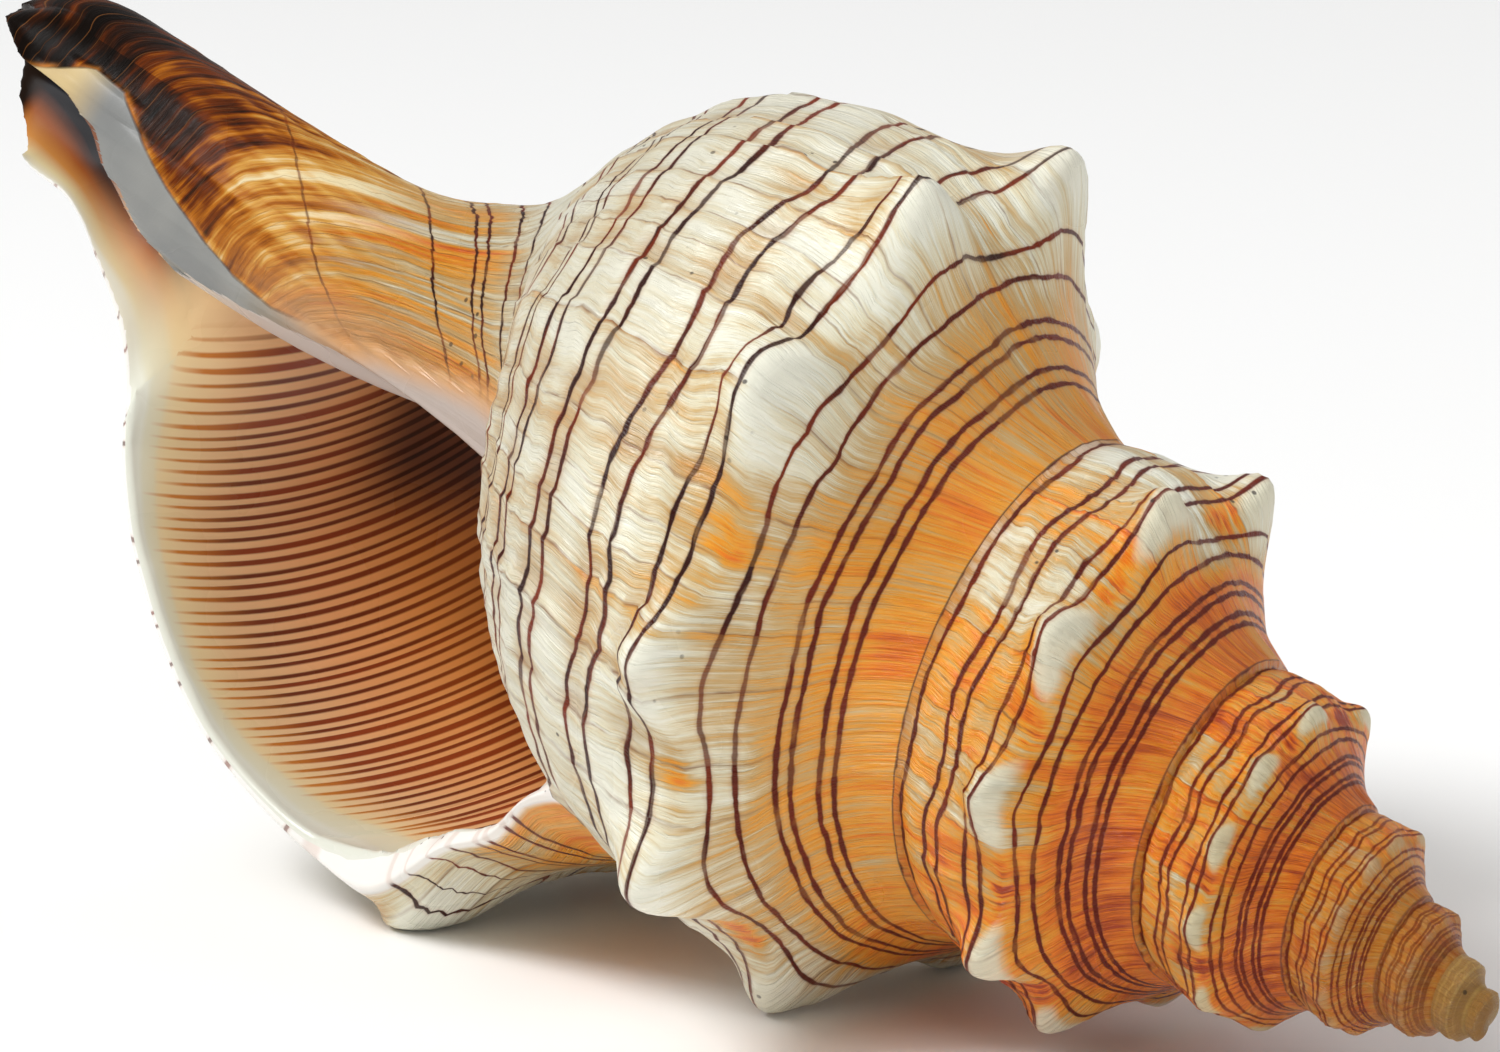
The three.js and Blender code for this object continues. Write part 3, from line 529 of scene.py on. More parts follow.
def on_callus(t, v, s):
    """where the callus can be: old side of the canal and the neck, before the mouth"""
    az = LIP_AZ - t
    side = (t < -4.6) & (t > -7.4) & (v > 1.7) & (s > 1150)
    c = np.minimum(callus_distance(az, s), (v - 1.79) * 700.0)
    c = np.minimum(c, (t + 7.25) * 260.0 + 14.0 * wave(v * 9.0, 7.0))
    return np.where(side, np.maximum(c, -200.0), -200.0)

def relief(t, v, r, s):
    g = growth_angle(t, v, s)
    size = r / 500.0
    n = growth_count(g)
    f = n - np.floor(n)
    up = STEP_UP[np.clip(np.floor(n).astype(int), 0, len(STEP_UP) - 1)]
    onc = smooth(v, 1.95, 2.2)
    out = 6.4 * up * size * (f ** 3 - 0.25) * smooth(v, 0.1, 0.45) * (1 - 0.5 * onc) * (1 - 0.8 * smooth(s, 1840, 1960))
    out += 3.6 * size * wave(g * 7.0, 1.0) * smooth(v, 0.1, 0.4)
    out += 2.7 * size * wave(g * 19.0 + 3 * v, 2.0) * smooth(v, 0.3, 0.6) * (1 - onc)
    out += 3.2 * size * wave(g * 12.0, 9.0) * wave(v * 7.0 + g * 2, 10.0) * smooth(v, 0.3, 0.6) * (1 - onc)
    out += 2.4 * size * wave(g * 17.0, 3.0) * gauss(v - 0.05, 0.07) * 2
    # low cords between the pairs of spiral lines
    cord = np.cos(2 * pi * (np.interp(v, [0.05, 0.136, 0.228, 0.372, 0.59, 0.81, 0.995, 1.25, 1.45, 1.62, 1.78, 1.92, 2.1],
                                      np.arange(13.0))))
    out -= 1.9 * size * cord * smooth(v, 0.3, 0.8) * (1 - onc)
    # ripples of the canal's outside along its growth lines
    out += (2.0 * wave(g * 7.0, 4.0) + 0.7 * wave(g * 15.0, 7.0)) * onc * (1 - 0.8 * smooth(s, 1840, 1960))
    c = on_callus(t, v, s)
    out = out * (1 - smooth(c, -6, 4)) + 6.5 * smooth(c, -3, 7)
    # little of it where an older turn meets the next one
    out = out * (1 - 0.8 * smooth(v, 0.88, 0.985) * smooth(-t, 5.8, 6.4) * (1 - smooth(v, 1.0, 1.05)))
    # nothing on the rounded lip and the canal's end
    tc = t + LEAN_MAX * lean(np.minimum(v, 1.0))
    out = out * smooth(-tc, 0.004, 0.05) * (1 - smooth(s, 2060, 2110))
    # nothing raised where the shell touches the ground
    az = LIP_AZ - t
    low = UNIT * (RM[2, 0] * r * np.cos(az) + RM[2, 1] * r * np.sin(az) - RM[2, 2] * s) + SHIFT[2]
    return np.where(out > 0, out * smooth(low, 0.0004, 0.0045), out)

# ---------------------------------------------------------- place in the frame
REST_DOWN = Vector((0.79493, 0.49249, 0.35431)).normalized()
REST_YAW = -0.55466
turn = Quaternion((0, 0, 1), REST_YAW) @ REST_DOWN.rotation_difference(Vector((0, 0, -1)))
RM = np.array(turn.to_matrix())
SHIFT = np.array([0.07221253467, -0.00256512547, 0.00670381832])

def to_frame(P):
    return (P * UNIT) @ RM.T + SHIFT

def mesh_object(name, V, F, C, S):
    vol = np.einsum("ij,ij->i", V[F[:, 0]], np.cross(V[F[:, 1]], V[F[:, 2]])).sum()
    if vol < 0:
        F = F[:, ::-1]; C = C[:, ::-1]
    me = bpy.data.meshes.new(name)
    me.vertices.add(len(V)); me.vertices.foreach_set("co", (V * UNIT).astype(np.float32).ravel())
    me.loops.add(3 * len(F)); me.loops.foreach_set("vertex_index", F.astype(np.int32).ravel())
    me.polygons.add(len(F)); me.polygons.foreach_set("loop_start", np.arange(0, 3 * len(F), 3, dtype=np.int32))
    me.update()
    for nm, d in (("ga", C[..., 0]), ("gb", C[..., 1]), ("src", np.repeat(S[:, None], 3, 1))):
        me.attributes.new(nm, "FLOAT", "CORNER").data.foreach_set("value", d.astype(np.float32).ravel())
    me.validate()
    o = bpy.data.objects.new(name, me)
    bpy.context.scene.collection.objects.link(o)
    return o

shell = mesh_object("conch_shell", *skin(relief))
for cutter in (mesh_object("cut_hollow", *hollow()), mesh_object("cut_channel", *channel())):
    m = shell.modifiers.new("cut", "BOOLEAN")
    m.operation = "DIFFERENCE"; m.object = cutter; m.solver = "MANIFOLD"
    dg = bpy.context.evaluated_depsgraph_get()
    cut = bpy.data.meshes.new_from_object(shell.evaluated_get(dg))
    shell.modifiers.clear()
    shell.data = cut
    bpy.data.objects.remove(cutter)

def read(me, name, kind="value", width=1, data=None, dtype=np.float32):
    data = me.attributes[name].data if data is None else data
    a = np.empty(len(data) * width, dtype); data.foreach_get(kind, a)
    return a.reshape(-1, width) if width > 1 else a

bm = bmesh.new(); bm.from_mesh(shell.data)
bmesh.ops.triangulate(bm, faces=[f for f in bm.faces if len(f.verts) > 3])
bmesh.ops.dissolve_degenerate(bm, dist=1e-7, edges=bm.edges)
bmesh.ops.triangulate(bm, faces=[f for f in bm.faces if len(f.verts) > 3])
bm.to_mesh(shell.data); bm.free()
me = shell.data
nv, nl = len(me.vertices), len(me.loops)
co = read(me, "", "co", 3, me.vertices).astype(float) / UNIT
lv = read(me, "", "vertex_index", 1, me.loops, np.int32)
ga, gb, src = read(me, "ga"), read(me, "gb"), read(me, "src").round().astype(int)
print("shell:", nv, "vertices", len(me.polygons), "faces")

# edges between different skins, softened a little
tri_v = lv.reshape(-1, 3)
kind = np.zeros(nv, int)
for k in range(7):
    on = np.zeros(nv, bool); on[lv[src == k]] = True
    kind += on * (1 << (k if k not in (4,) else 3))
def many(x):
    return np.array([bin(int(b)).count("1") for b in x]) > 1
edge = many(kind)
E2 = np.unique(np.sort(np.vstack([tri_v[:, [0, 1]], tri_v[:, [1, 2]], tri_v[:, [2, 0]]]), axis=1), axis=0)
deg = np.bincount(E2.ravel(), minlength=nv)
ring_ = edge.copy(); weight = edge.astype(float)
for step_, wgt in ((1, 0.9), (2, 0.75), (3, 0.55), (4, 0.35), (5, 0.2)):
    grow = ring_.copy(); grow[E2[ring_[E2[:, 0]], 1]] = True; grow[E2[ring_[E2[:, 1]], 0]] = True
    weight[grow & ~ring_] = wgt; ring_ = grow
for it in range(10):
    acc = np.zeros((nv, 3)); np.add.at(acc, E2[:, 0], co[E2[:, 1]]); np.add.at(acc, E2[:, 1], co[E2[:, 0]])
    mean = acc / deg[:, None]
    co += (mean - co) * (0.5 * weight)[:, None]

# ------------------------------------------------ values that colour the shell
P = co[lv]
cor_az = np.arctan2(P[:, 1], P[:, 0]); cor_s = -P[:, 2]; cor_r = np.hypot(P[:, 0], P[:, 1])
out_side = (src == 0) | (src == 2)
t_ = np.where(out_side, ga, 0.0); v_ = np.where(out_side, gb, 0.0)
s_ = cor_s
vm = np.minimum(v_, 2.0)
e_ = 1e-3
lo_ = np.maximum(vm - e_, 0)
ra_, sa_ = outside(t_, lo_); rb_, sb_ = outside(t_, lo_ + e_)
per_v = np.hypot(rb_ - ra_, sb_ - sa_) / e_
per_v = np.where(v_ > 1.99, suture_s(t_) * 0.9, per_v)
g_ = growth_angle(t_, v_, s_)
dk = t_[:, None] - KNOBS
ik = np.abs(dk).argmin(1); dk = dk[np.arange(len(ik)), ik]
bump_t = np.exp(-(dk / 0.2) ** 2)
dk2 = (t_ - 0.15)[:, None] - KNOBS; dk2 = dk2[np.arange(len(ik)), np.abs(dk2).argmin(1)]
bump_late = np.exp(-(dk2 / 0.2) ** 2)
rise = np.interp(v_, [0.08, 0.121, 0.211, 0.244, 0.340, 0.404, 0.555, 0.625, 0.775, 0.848, 0.970, 1.02, 1.1],
                 [0, 0.005, 0.009, 0.010, 0.030, 0.043, 0.075, 0.090, 0.05, 0.045, 0.015, 0.012, 0.0])
late = np.interp(v_, [1.15, 1.25, 1.40, 1.55, 1.75], [0, 0.03, 0.09, 0.09, 0])
sn = (s_ - APEX_S) / suture_s(t_)
line_v = np.where(v_ <= 2.0, v_, 2.0 + (sn - 2.07) * 1.1) + rise * bump_t + late * bump_late
# on the newest part they run aslant over the last knobs
q_ = np.clip(-t_ - 0.53, -0.3, 0.3)
at_ = np.stack([0.20 + 0 * q_, 0.318 - 0.10 * q_, 0.385 - 0.30 * q_, 0.450 - 0.57 * q_, 0.503 - 0.66 * q_, 0.78 + 0 * q_])
to_ = [0.20, 0.340, 0.404, 0.555, 0.625, 0.80]
aslant = v_.copy()
for k in range(5):
    on = (v_ >= at_[k]) & (v_ < at_[k + 1])
    aslant = np.where(on, to_[k] + (to_[k + 1] - to_[k]) * (v_ - at_[k]) / (at_[k + 1] - at_[k]), aslant)
line_v = line_v + (aslant - line_v) * (1 - smooth(-t_, 0.76, 1.15)) * (v_ > 0.2) * (v_ < 0.78)
calm = 0.3 + 0.7 * smooth(-t_, 0.3, 1.2)
line_v = line_v + calm * (0.0035 * wave(g_ * 11, 5.0) + 0.0022 * wave(g_ * 31 + 33 * line_v, 6.0)) * smooth(v_, 0.05, 0.2)
# a small jog at each growth rest
line_v = line_v + 0.0035 * calm * wave(np.floor(growth_count(g_)) + 0.5, 8.0) * smooth(v_, 0.2, 0.5)
cal = np.where(out_side, on_callus(t_, v_, s_), 300.0)
inside_x = np.where(src == 3, np.clip(-ga, 0, 4), np.where(src == 6, np.clip(cor_az - LIP_EDGE, 0, 4), 0.0)) * cor_r
lira_n = np.where(src == 3, gb, -1.0)
lira_v = np.where(src == 3, np.interp(gb * 2, np.arange(len(LIRA_V)), LIRA_V), 2.2)
begin = np.interp(lira_v, [0.3, 0.75, 0.83, 0.97, 1.2, 1.6, 1.9], [100, 80, 48, 22, 6, 9, 18])
stray = ((src == 4) | (src == 5)) & (cor_az > 0.15) & (cor_az < 1.2) & (s_ > 1700)      # end of the channel's floor
inside_x = np.where(stray, np.clip(cor_az - LIP_EDGE, 0, 4) * cor_r, inside_x)
far_in = inside_x / np.interp(lira_v, [0.7, 0.95, 1.2, 1.5, 1.8], [290, 320, 470, 430, 330])
round_az = (np.degrees(cor_az) - 15 + 25) % 360 - 25
chan_u = np.where(src == 6, round_az / np.interp(s_, [1780, 1900, 1945, 1975, 2005, 2035, 2065, 2095, 2125, 2160],
                                                 [17, 18, 23, 28, 35, 45, 52, 59, 63, 75]), 0.0)
far_wall = (src == 6) & (chan_u > 2)
inside_x = np.where(far_wall, 80.0, inside_x); chan_u = np.where(far_wall, 0.92, chan_u)
lip_d = -(t_ + LEAN_MAX * lean(np.minimum(v_, 1.0))) * cor_r
high = np.where(out_side, relief(t_, v_, cor_r, s_) / np.maximum(cor_r / 500.0, 0.2), 0.0)
values = {
    "age": -t_, "prof": v_, "line_v": line_v, "per_v": per_v, "grow": g_ + 50.0, "rest": growth_count(g_),
    "knob": bump_t ** 1.7 * np.exp(-((v_ - 0.455) / 0.055) ** 2), "gap_t": 1 - bump_t, "callus": cal, "down": s_,
    "in_x": inside_x, "lira": lira_n, "lira_v": lira_v, "begin": begin, "far_in": far_in, "chan": chan_u,
    "turn_in": np.where((src == 3) | (src == 4) | (src == 5), -ga, 0), "azim": np.degrees(cor_az), "lip_d": lip_d, "high": high,
    "is_out": out_side * 1.0, "is_hollow": (src == 3) * 1.0, "is_inner": (((src == 4) | (src == 5)) & ~stray) * 1.0,
    "is_chan": ((src == 6) | stray) * 1.0, "is_edge": (src == 1) * 1.0,
}
for nm in ("ga", "gb", "src"):
    me.attributes.remove(me.attributes[nm])
for nm, d in values.items():
    me.attributes.new(nm, "FLOAT", "CORNER").data.foreach_set("value", np.ascontiguousarray(d, np.float32))
# the knobs it lies on are worn at their tips
put_at = to_frame(co); worn = 0.0008
put_at[:, 2] = np.where(put_at[:, 2] < worn, worn * np.exp((np.minimum(put_at[:, 2], worn) - worn) / worn), put_at[:, 2])
me.vertices.foreach_set("co", put_at.astype(np.float32).ravel())
me.polygons.foreach_set("use_smooth", np.ones(len(me.polygons), bool))
me.set_sharp_from_angle(angle=radians(52))
me.update()

# ------------------------------------------------------------------ material
mat = bpy.data.materials.new("shell_conch"); mat.use_nodes = True
nt = mat.node_tree; nodes, links = nt.nodes, nt.links
bsdf = nodes["Principled BSDF"]
def put(sock, x):
    if isinstance(x, bpy.types.NodeSocket): links.new(x, sock)
    elif x is not None:
        sock.default_value = x
def attr(nm):
    n = nodes.new("ShaderNodeAttribute"); n.attribute_name = nm
    return n.outputs["Fac"]
def m(op, a, b=None, c=None, clamp=False):
    n = nodes.new("ShaderNodeMath"); n.operation = op; n.use_clamp = clamp
    put(n.inputs[0], a)
    if b is not None: put(n.inputs[1], b)
    if c is not None: put(n.inputs[2], c)
    return n.outputs[0]
add = lambda a, b: m("ADD", a, b)
sub = lambda a, b: m("SUBTRACT", a, b)
mul = lambda a, b: m("MULTIPLY", a, b)
def ease(x, a, b, lo=0.0, hi=1.0, kind="SMOOTHSTEP"):
    n = nodes.new("ShaderNodeMapRange"); n.interpolation_type = kind
    put(n.inputs["Value"], x)
    n.inputs["From Min"].default_value = a; n.inputs["From Max"].default_value = b
    n.inputs["To Min"].default_value = lo; n.inputs["To Max"].default_value = hi
    return n.outputs["Result"]
def bell(x, c, w):
    q = m("DIVIDE", sub(x, c), w)
    return m("EXPONENT", mul(mul(q, q), -1.0))
def vec(x=0.0, y=0.0, z=0.0):
    n = nodes.new("ShaderNodeCombineXYZ")
    put(n.inputs[0], x); put(n.inputs[1], y); put(n.inputs[2], z)
    return n.outputs[0]
def noise(v, scale=1.0, detail=2.0, rough=0.5):
    n = nodes.new("ShaderNodeTexNoise"); n.noise_dimensions = "3D"
    put(n.inputs["Vector"], v); n.inputs["Scale"].default_value = scale
    n.inputs["Detail"].default_value = detail; n.inputs["Roughness"].default_value = rough
    return n.outputs["Fac"]
def white(v):
    n = nodes.new("ShaderNodeTexWhiteNoise"); n.noise_dimensions = "3D"
    put(n.inputs["Vector"], v)
    return n.outputs["Value"]
def lin(c):
    c = np.array(c, float) / 255
    return tuple(np.where(c <= 0.04045, c / 12.92, ((c + 0.055) / 1.055) ** 2.4)) + (1.0,)
def ramp(x, stops):
    n = nodes.new("ShaderNodeValToRGB"); el = n.color_ramp.elements
    while len(el) < len(stops): el.new(0.5)
    for q, (p, c) in zip(el, stops):
        q.position = p; q.color = lin(c)
    put(n.inputs["Fac"], x)
    return n.outputs["Color"]
def mix(f, a, b):
    n = nodes.new("ShaderNodeMix"); n.data_type = "RGBA"; n.clamp_factor = True
    put(n.inputs[0], f)
    put(n.inputs[6], a if isinstance(a, bpy.types.NodeSocket) else lin(a))
    put(n.inputs[7], b if isinstance(b, bpy.types.NodeSocket) else lin(b))
    return n.outputs[2]
A = {nm: attr(nm) for nm in values}
coord = nodes.new("ShaderNodeTexCoord").outputs["Object"]

# spiral lines: pairs, mid position and half distance, three pairs at a time
PAIRS = [(0.1365, 0.0155), (0.2275, 0.0165), (0.372, 0.032), (0.590, 0.035), (0.8115, 0.0365), (0.995, 0.025),
         (1.2475, 0.0375), (1.4525, 0.0225), (1.62, 0.02), (1.78, 0.02), (1.93, 0.028), (2.041, 0.014),
         (2.162, 0.0), (2.50, 0.0), (3.5, 0.0)]
vv = vec(A["line_v"], A["line_v"], A["line_v"])
best = None
def vmath(op, a, b=None):
    n = nodes.new("ShaderNodeVectorMath"); n.operation = op
    put(n.inputs[0], a)
    if b is not None: put(n.inputs[1], b)
    return n.outputs[0]
for i in range(0, len(PAIRS), 3):
    grp = PAIRS[i:i + 3]
    q = vmath("ABSOLUTE", vmath("SUBTRACT", vmath("ABSOLUTE", vmath("SUBTRACT", vv, tuple(p[0] for p in grp))), tuple(p[1] for p in grp)))
    sp = nodes.new("ShaderNodeSeparateXYZ"); put(sp.inputs[0], q)
    d = m("MINIMUM", m("MINIMUM", sp.outputs[0], sp.outputs[1]), sp.outputs[2])
    best = d if best is None else m("MINIMUM", best, d)
line_d = mul(best, A["per_v"])                         # units from the nearest line
age, prof = A["age"], A["prof"]
wob = noise(vec(mul(A["grow"], 14.0), mul(prof, 9.0), 0.0), 1.0, 3.0)
width = mul(ease(age, 9.0, 24.0, 3.25, 1.5, "LINEAR"), ease(wob, 0.3, 0.7, 0.72, 1.3))
width = mul(width, ease(prof, 1.15, 1.5, 1.0, 0.72))
line = sub(1.0, ease(m("DIVIDE", line_d, width), 0.55, 1.25))
line_halo = sub(1.0, ease(m("DIVIDE", line_d, width), 0.8, 2.6))
strength = ease(noise(vec(mul(A["grow"], 5.0), mul(A["line_v"], 26.0), 3.0), 1.0, 2.0), 0.30, 0.42, 0.74, 1.0)
strength = mul(strength, ease(white(vec(m("FLOOR", A["rest"]), m("FLOOR", mul(A["line_v"], 9.0)), 2.0)), 0.0, 0.25, 0.8, 1.0))
strength = mul(strength, ease(A["knob"], 0.55, 0.95, 1.0, 0.6))
line = mul(mul(line, strength), mul(ease(age, 17.0, 22.0, 1.0, 0.88), ease(age, 26.0, 36.0, 1.0, 0.2)))
line = mul(line, m("MAXIMUM", ease(A["lip_d"], 5.0, 12.0), mul(ease(prof, 0.75, 0.8), 0.7)))

# orange value from age, place on the whorl, growth and noise
inc = m("FLOOR", A["rest"])
frac = m("FRACT", A["rest"])
rnd = white(vec(inc, 1.0, 0.0))
rnd2 = white(vec(inc, 7.0, 0.0))
patch = noise(vec(mul(inc, 3.7), mul(prof, 5.0), rnd), 1.0, 2.0)
soft = noise(vec(mul(A["grow"], 4.0), mul(prof, 4.5), 9.0), 1.0, 3.0)
striae = noise(vec(mul(A["grow"], 75.0), mul(prof, 4.0), 0.0), 1.0, 4.0, 0.62)
fine = noise(vec(mul(A["grow"], 260.0), mul(prof, 9.0), 0.0), 1.0, 2.0, 0.6)
bands = noise(vec(mul(A["grow"], 22.0), mul(prof, 2.2), 2.0), 1.0, 3.0, 0.6)
blotch = noise(coord, 55.0, 3.0)
neck = ease(prof, 1.86, 2.06)
young = sub(1.0, ease(age, 6.3, 7.2)); old = ease(age, 18.0, 21.0)
mid = sub(sub(1.0, young), old)
ramp_part = sub(1.0, ease(prof, 0.25, 0.37))
hi_y = ease(prof, 0.02, 0.30, 0.57, 0.43)
lo_y = mul(ease(prof, 0.35, 1.2, 0.27, 0.17), ease(age, 4.0, 5.6, 0.8, 1.1))
hi_m = ease(age, 7.0, 15.0, 0.70, 0.82)
lo_m = ease(age, 7.0, 14.0, 0.25, 0.70)
o = add(mul(young, add(mul(hi_y, ramp_part), mul(lo_y, sub(1.0, ramp_part)))),
        mul(mid, add(mul(hi_m, ramp_part), mul(lo_m, sub(1.0, ramp_part)))))
o = add(o, mul(old, 0.60))
amp = add(mul(young, 0.5), mul(mid, 1.0)); amp = add(amp, mul(old, 0.7))
o = add(o, mul(mul(sub(rnd, 0.5), ease(prof, 0.25, 0.5, 0.10, 0.34)), amp))
o = add(o, mul(mul(sub(patch, 0.5), ease(prof, 0.3, 0.5, 0.22, 0.60)), amp))
o = add(o, mul(sub(soft, 0.5), 0.52))
o = add(o, mul(sub(bands, 0.5), ease(prof, 0.3, 0.6, 0.45, 0.85)))
o = add(o, mul(sub(striae, 0.5), ease(prof, 0.3, 0.6, 0.70, 0.50)))
o = add(o, mul(sub(fine, 0.5), 0.34))
o = add(o, mul(sub(blotch, 0.5), 0.30))
# painted shade in the low places of the relief and painted highlight on its crests
o = sub(o, mul(A["high"], 0.018))
o = sub(o, mul(mul(ease(prof, 0.46, 0.62), bell(age, 8.6, 2.6)), 0.34))
# just before a rest the shell is deeper in colour
o = add(o, mul(ease(frac, 0.72, 1.0), mul(ease(rnd2, 0.3, 0.9, 0.0, 0.30), ease(prof, 0.2, 0.5, 0.3, 0.8))))
spot = mul(bell(prof, 0.47, 0.05), m("POWER", A["gap_t"], 3.0))
spot = mul(spot, ease(add(mul(soft, 0.6), mul(bands, 0.6)), 0.50, 0.72))
o = add(o, mul(spot, add(mul(mid, 0.60), mul(young, 0.38))))
o = sub(o, mul(A["knob"], add(ease(age, 18.0, 24.0, 0.46, 0.25), mul(mul(sub(bands, 0.5), young), -1.2))))
neck_b = noise(vec(mul(A["grow"], 6.5), mul(A["azim"], 0.02), 6.0), 1.0, 3.0, 0.6)
o = add(mul(o, sub(1.0, neck)), mul(add(add(0.46, mul(sub(striae, 0.5), 0.22)), mul(sub(add(mul(bands, 0.22), mul(neck_b, 0.78)), 0.5), 2.7)), neck))
shell_c = ramp(o, [(0.0, (238, 236, 218)), (0.18, (226, 217, 186)), (0.38, (206, 170, 110)),
                   (0.58, (234, 156, 38)), (0.78, (232, 116, 6)), (1.0, (166, 54, 2))])
# canal: darker towards the tip, with dark growth arcs
arcs = noise(vec(mul(A["grow"], 6.5), mul(A["azim"], 0.012), 0.0), 1.0, 3.0, 0.6)
arcs2 = noise(vec(mul(A["grow"], 17.0), mul(A["azim"], 0.03), 4.0), 1.0, 2.0, 0.6)
near_edge = mul(ease(A["callus"], -75.0, -5.0), ease(A["down"], 1560.0, 1700.0))
dark_to = ease(A["down"], 1600.0, 2010.0, 0.0, 1.0, "LINEAR")
canal_o = add(add(mul(dark_to, 0.74), mul(sub(arcs, 0.5), 1.5)), add(0.20, mul(sub(arcs2, 0.5), 0.42)))
canal_o = add(canal_o, mul(near_edge, 0.20))
# painted shade in the low places of the relief and painted highlight on its crests
canal_o = sub(canal_o, mul(A["high"], 0.02))
canal_c = ramp(canal_o, [(0.0, (226, 208, 164)), (0.20, (204, 152, 70)), (0.40, (170, 98, 20)),
                         (0.60, (104, 44, 6)), (0.80, (44, 20, 8)), (1.0, (16, 10, 7))])
on_canal = mul(ease(A["down"], 1440.0, 1640.0), neck)
shell_c = mix(on_canal, shell_c, canal_c)
# pale ovals on the knobs of the older turns
oval = add(m("POWER", A["knob"], ease(age, 11.0, 13.5, 0.36, 0.5)), mul(sub(soft, 0.5), 0.55))
oval = mul(ease(oval, 0.46, 0.76), mul(sub(1.0, young), ease(age, 19.0, 26.0, 0.88, 0.35)))
shell_c = mix(oval, shell_c, mix(ease(age, 12.0, 22.0), (228, 222, 196), (214, 196, 148)))
# greyer base, tan-brown old spire
shell_c = mix(mul(mul(mul(ease(prof, 0.55, 1.15), sub(1.0, neck)), young), 0.45), shell_c, (192, 186, 166))
shell_c = mix(mul(mul(ease(prof, 0.92, 0.99), sub(1.0, young)), 0.4), shell_c, (206, 122, 40))
shell_c = mix(mul(ease(age, 18.0, 28.0), 0.72), shell_c, mix(ease(add(mul(bands, 0.5), mul(soft, 0.5)), 0.38, 0.62), (210, 138, 46), (188, 90, 10)))
shell_c = mix(mul(ease(age, 29.0, 36.0), 0.8), shell_c, mix(ease(blotch, 0.35, 0.6), (216, 186, 110), (196, 146, 62)))
# painted shade in the low places of the relief
shell_c = mix(mul(ease(A["high"], -1.0, -7.0), mul(ease(prof, 0.3, 0.6), mul(sub(1.0, neck), add(0.25, mul(young, 0.25))))), shell_c, (172, 132, 80))
# growth rest lines
rest_d = m("MINIMUM", frac, sub(1.0, frac))
rest_n = noise(vec(inc, mul(prof, 8.0), 5.0))
rest_w = mul(mul(sub(1.0, ease(rest_d, 0.0, 0.06)), ease(rnd2, 0.05, 0.6, 0.2, 1.0)), mul(ease(rest_n, 0.38, 0.6, 0.1, 1.0), sub(1.0, mul(A["knob"], 0.9))))
shell_c = mix(mul(rest_w, ease(prof, 0.05, 0.4, 0.2, 0.8)), shell_c, (132, 82, 40))
# towards the newest edge the colour fades
lip_w = ease(prof, 0.75, 1.0, 1.0, 0.6)
lip_u = mul(A["lip_d"], m("DIVIDE", 1.0, lip_w))
shell_c = mix(mul(sub(1.0, ease(lip_u, 10.0, 24.0)), 0.94), shell_c, mix(ease(lip_u, 12.0, 22.0), (243, 241, 236), (234, 226, 206)))
line_col = mix(ease(noise(vec(mul(A["grow"], 3.0), mul(A["line_v"], 14.0), 8.0)), 0.42, 0.64), (50, 14, 5), (120, 40, 8))
line_col = mix(ease(prof, 0.28, 0.42, 0.7, 0.0), line_col, (112, 34, 8))
line_col = mix(ease(age, 5.8, 7.0, 0.0, 0.55), line_col, (108, 28, 8))
line_col = mix(ease(age, 13.0, 22.0, 0.0, 0.9), line_col, (126, 36, 6))
shell_c = mix(mul(line_halo, 0.22), shell_c, (170, 96, 40))
shell_c = mix(mul(line, sub(1.0, mul(on_canal, 0.4))), shell_c, line_col)
# suture
sut = sub(1.0, ease(mul(prof, A["per_v"]), 0.6, 2.6))
sut = mul(mul(sut, ease(age, 20.0, 30.0, 0.85, 0.2)), A["is_out"])
shell_c = mix(sut, shell_c, mix(ease(age, 5.0, 14.0), (66, 32, 14), (122, 60, 20)))
# small dark pits
pit = nodes.new("ShaderNodeTexVoronoi"); pit.inputs["Scale"].default_value = 620.0
put(pit.inputs["Vector"], coord)
pits = mul(sub(1.0, ease(pit.outputs["Distance"], 0.08, 0.15)), ease(noise(coord, 90.0, 2.0), 0.58, 0.66))
shell_c = mix(mul(pits, 0.85), shell_c, (40, 26, 16))
# callus, with a thin orange edge
cal_c = ramp(noise(coord, 60.0, 3.0), [(0.0, (104, 104, 104)), (0.45, (130, 131, 129)), (0.62, (150, 149, 144)), (1.0, (158, 140, 112))])
cal_c = mix(ease(A["down"], 1905.0, 1975.0), cal_c, ramp(noise(coord, 75.0, 3.0), [(0.3, (214, 206, 182)), (0.55, (200, 178, 132)), (0.75, (168, 136, 90))]))
cal_c = mix(ease(A["down"], 1640.0, 1500.0), cal_c, mix(ease(A["callus"], 2.0, 34.0), (204, 152, 100), (184, 168, 158)))
sharp = ease(A["down"], 1540.0, 1640.0)
on_cal = add(mul(ease(A["callus"], -1.5, 2.5), sharp), mul(ease(A["callus"], -16.0, 12.0), sub(1.0, sharp)))
glaze = mul(ease(A["callus"], -70.0, -5.0), mul(bell(A["down"], 1510.0, 120.0), 0.85))
shell_c = mix(glaze, shell_c, (214, 158, 106))
shell_c = mix(mul(bell(A["callus"], -1.0, 3.5), mul(ease(noise(vec(mul(A["down"], 0.02), 0.0, 0.0)), 0.4, 0.6), 0.8)), shell_c, (190, 118, 48))
shell_c = mix(on_cal, shell_c, cal_c)

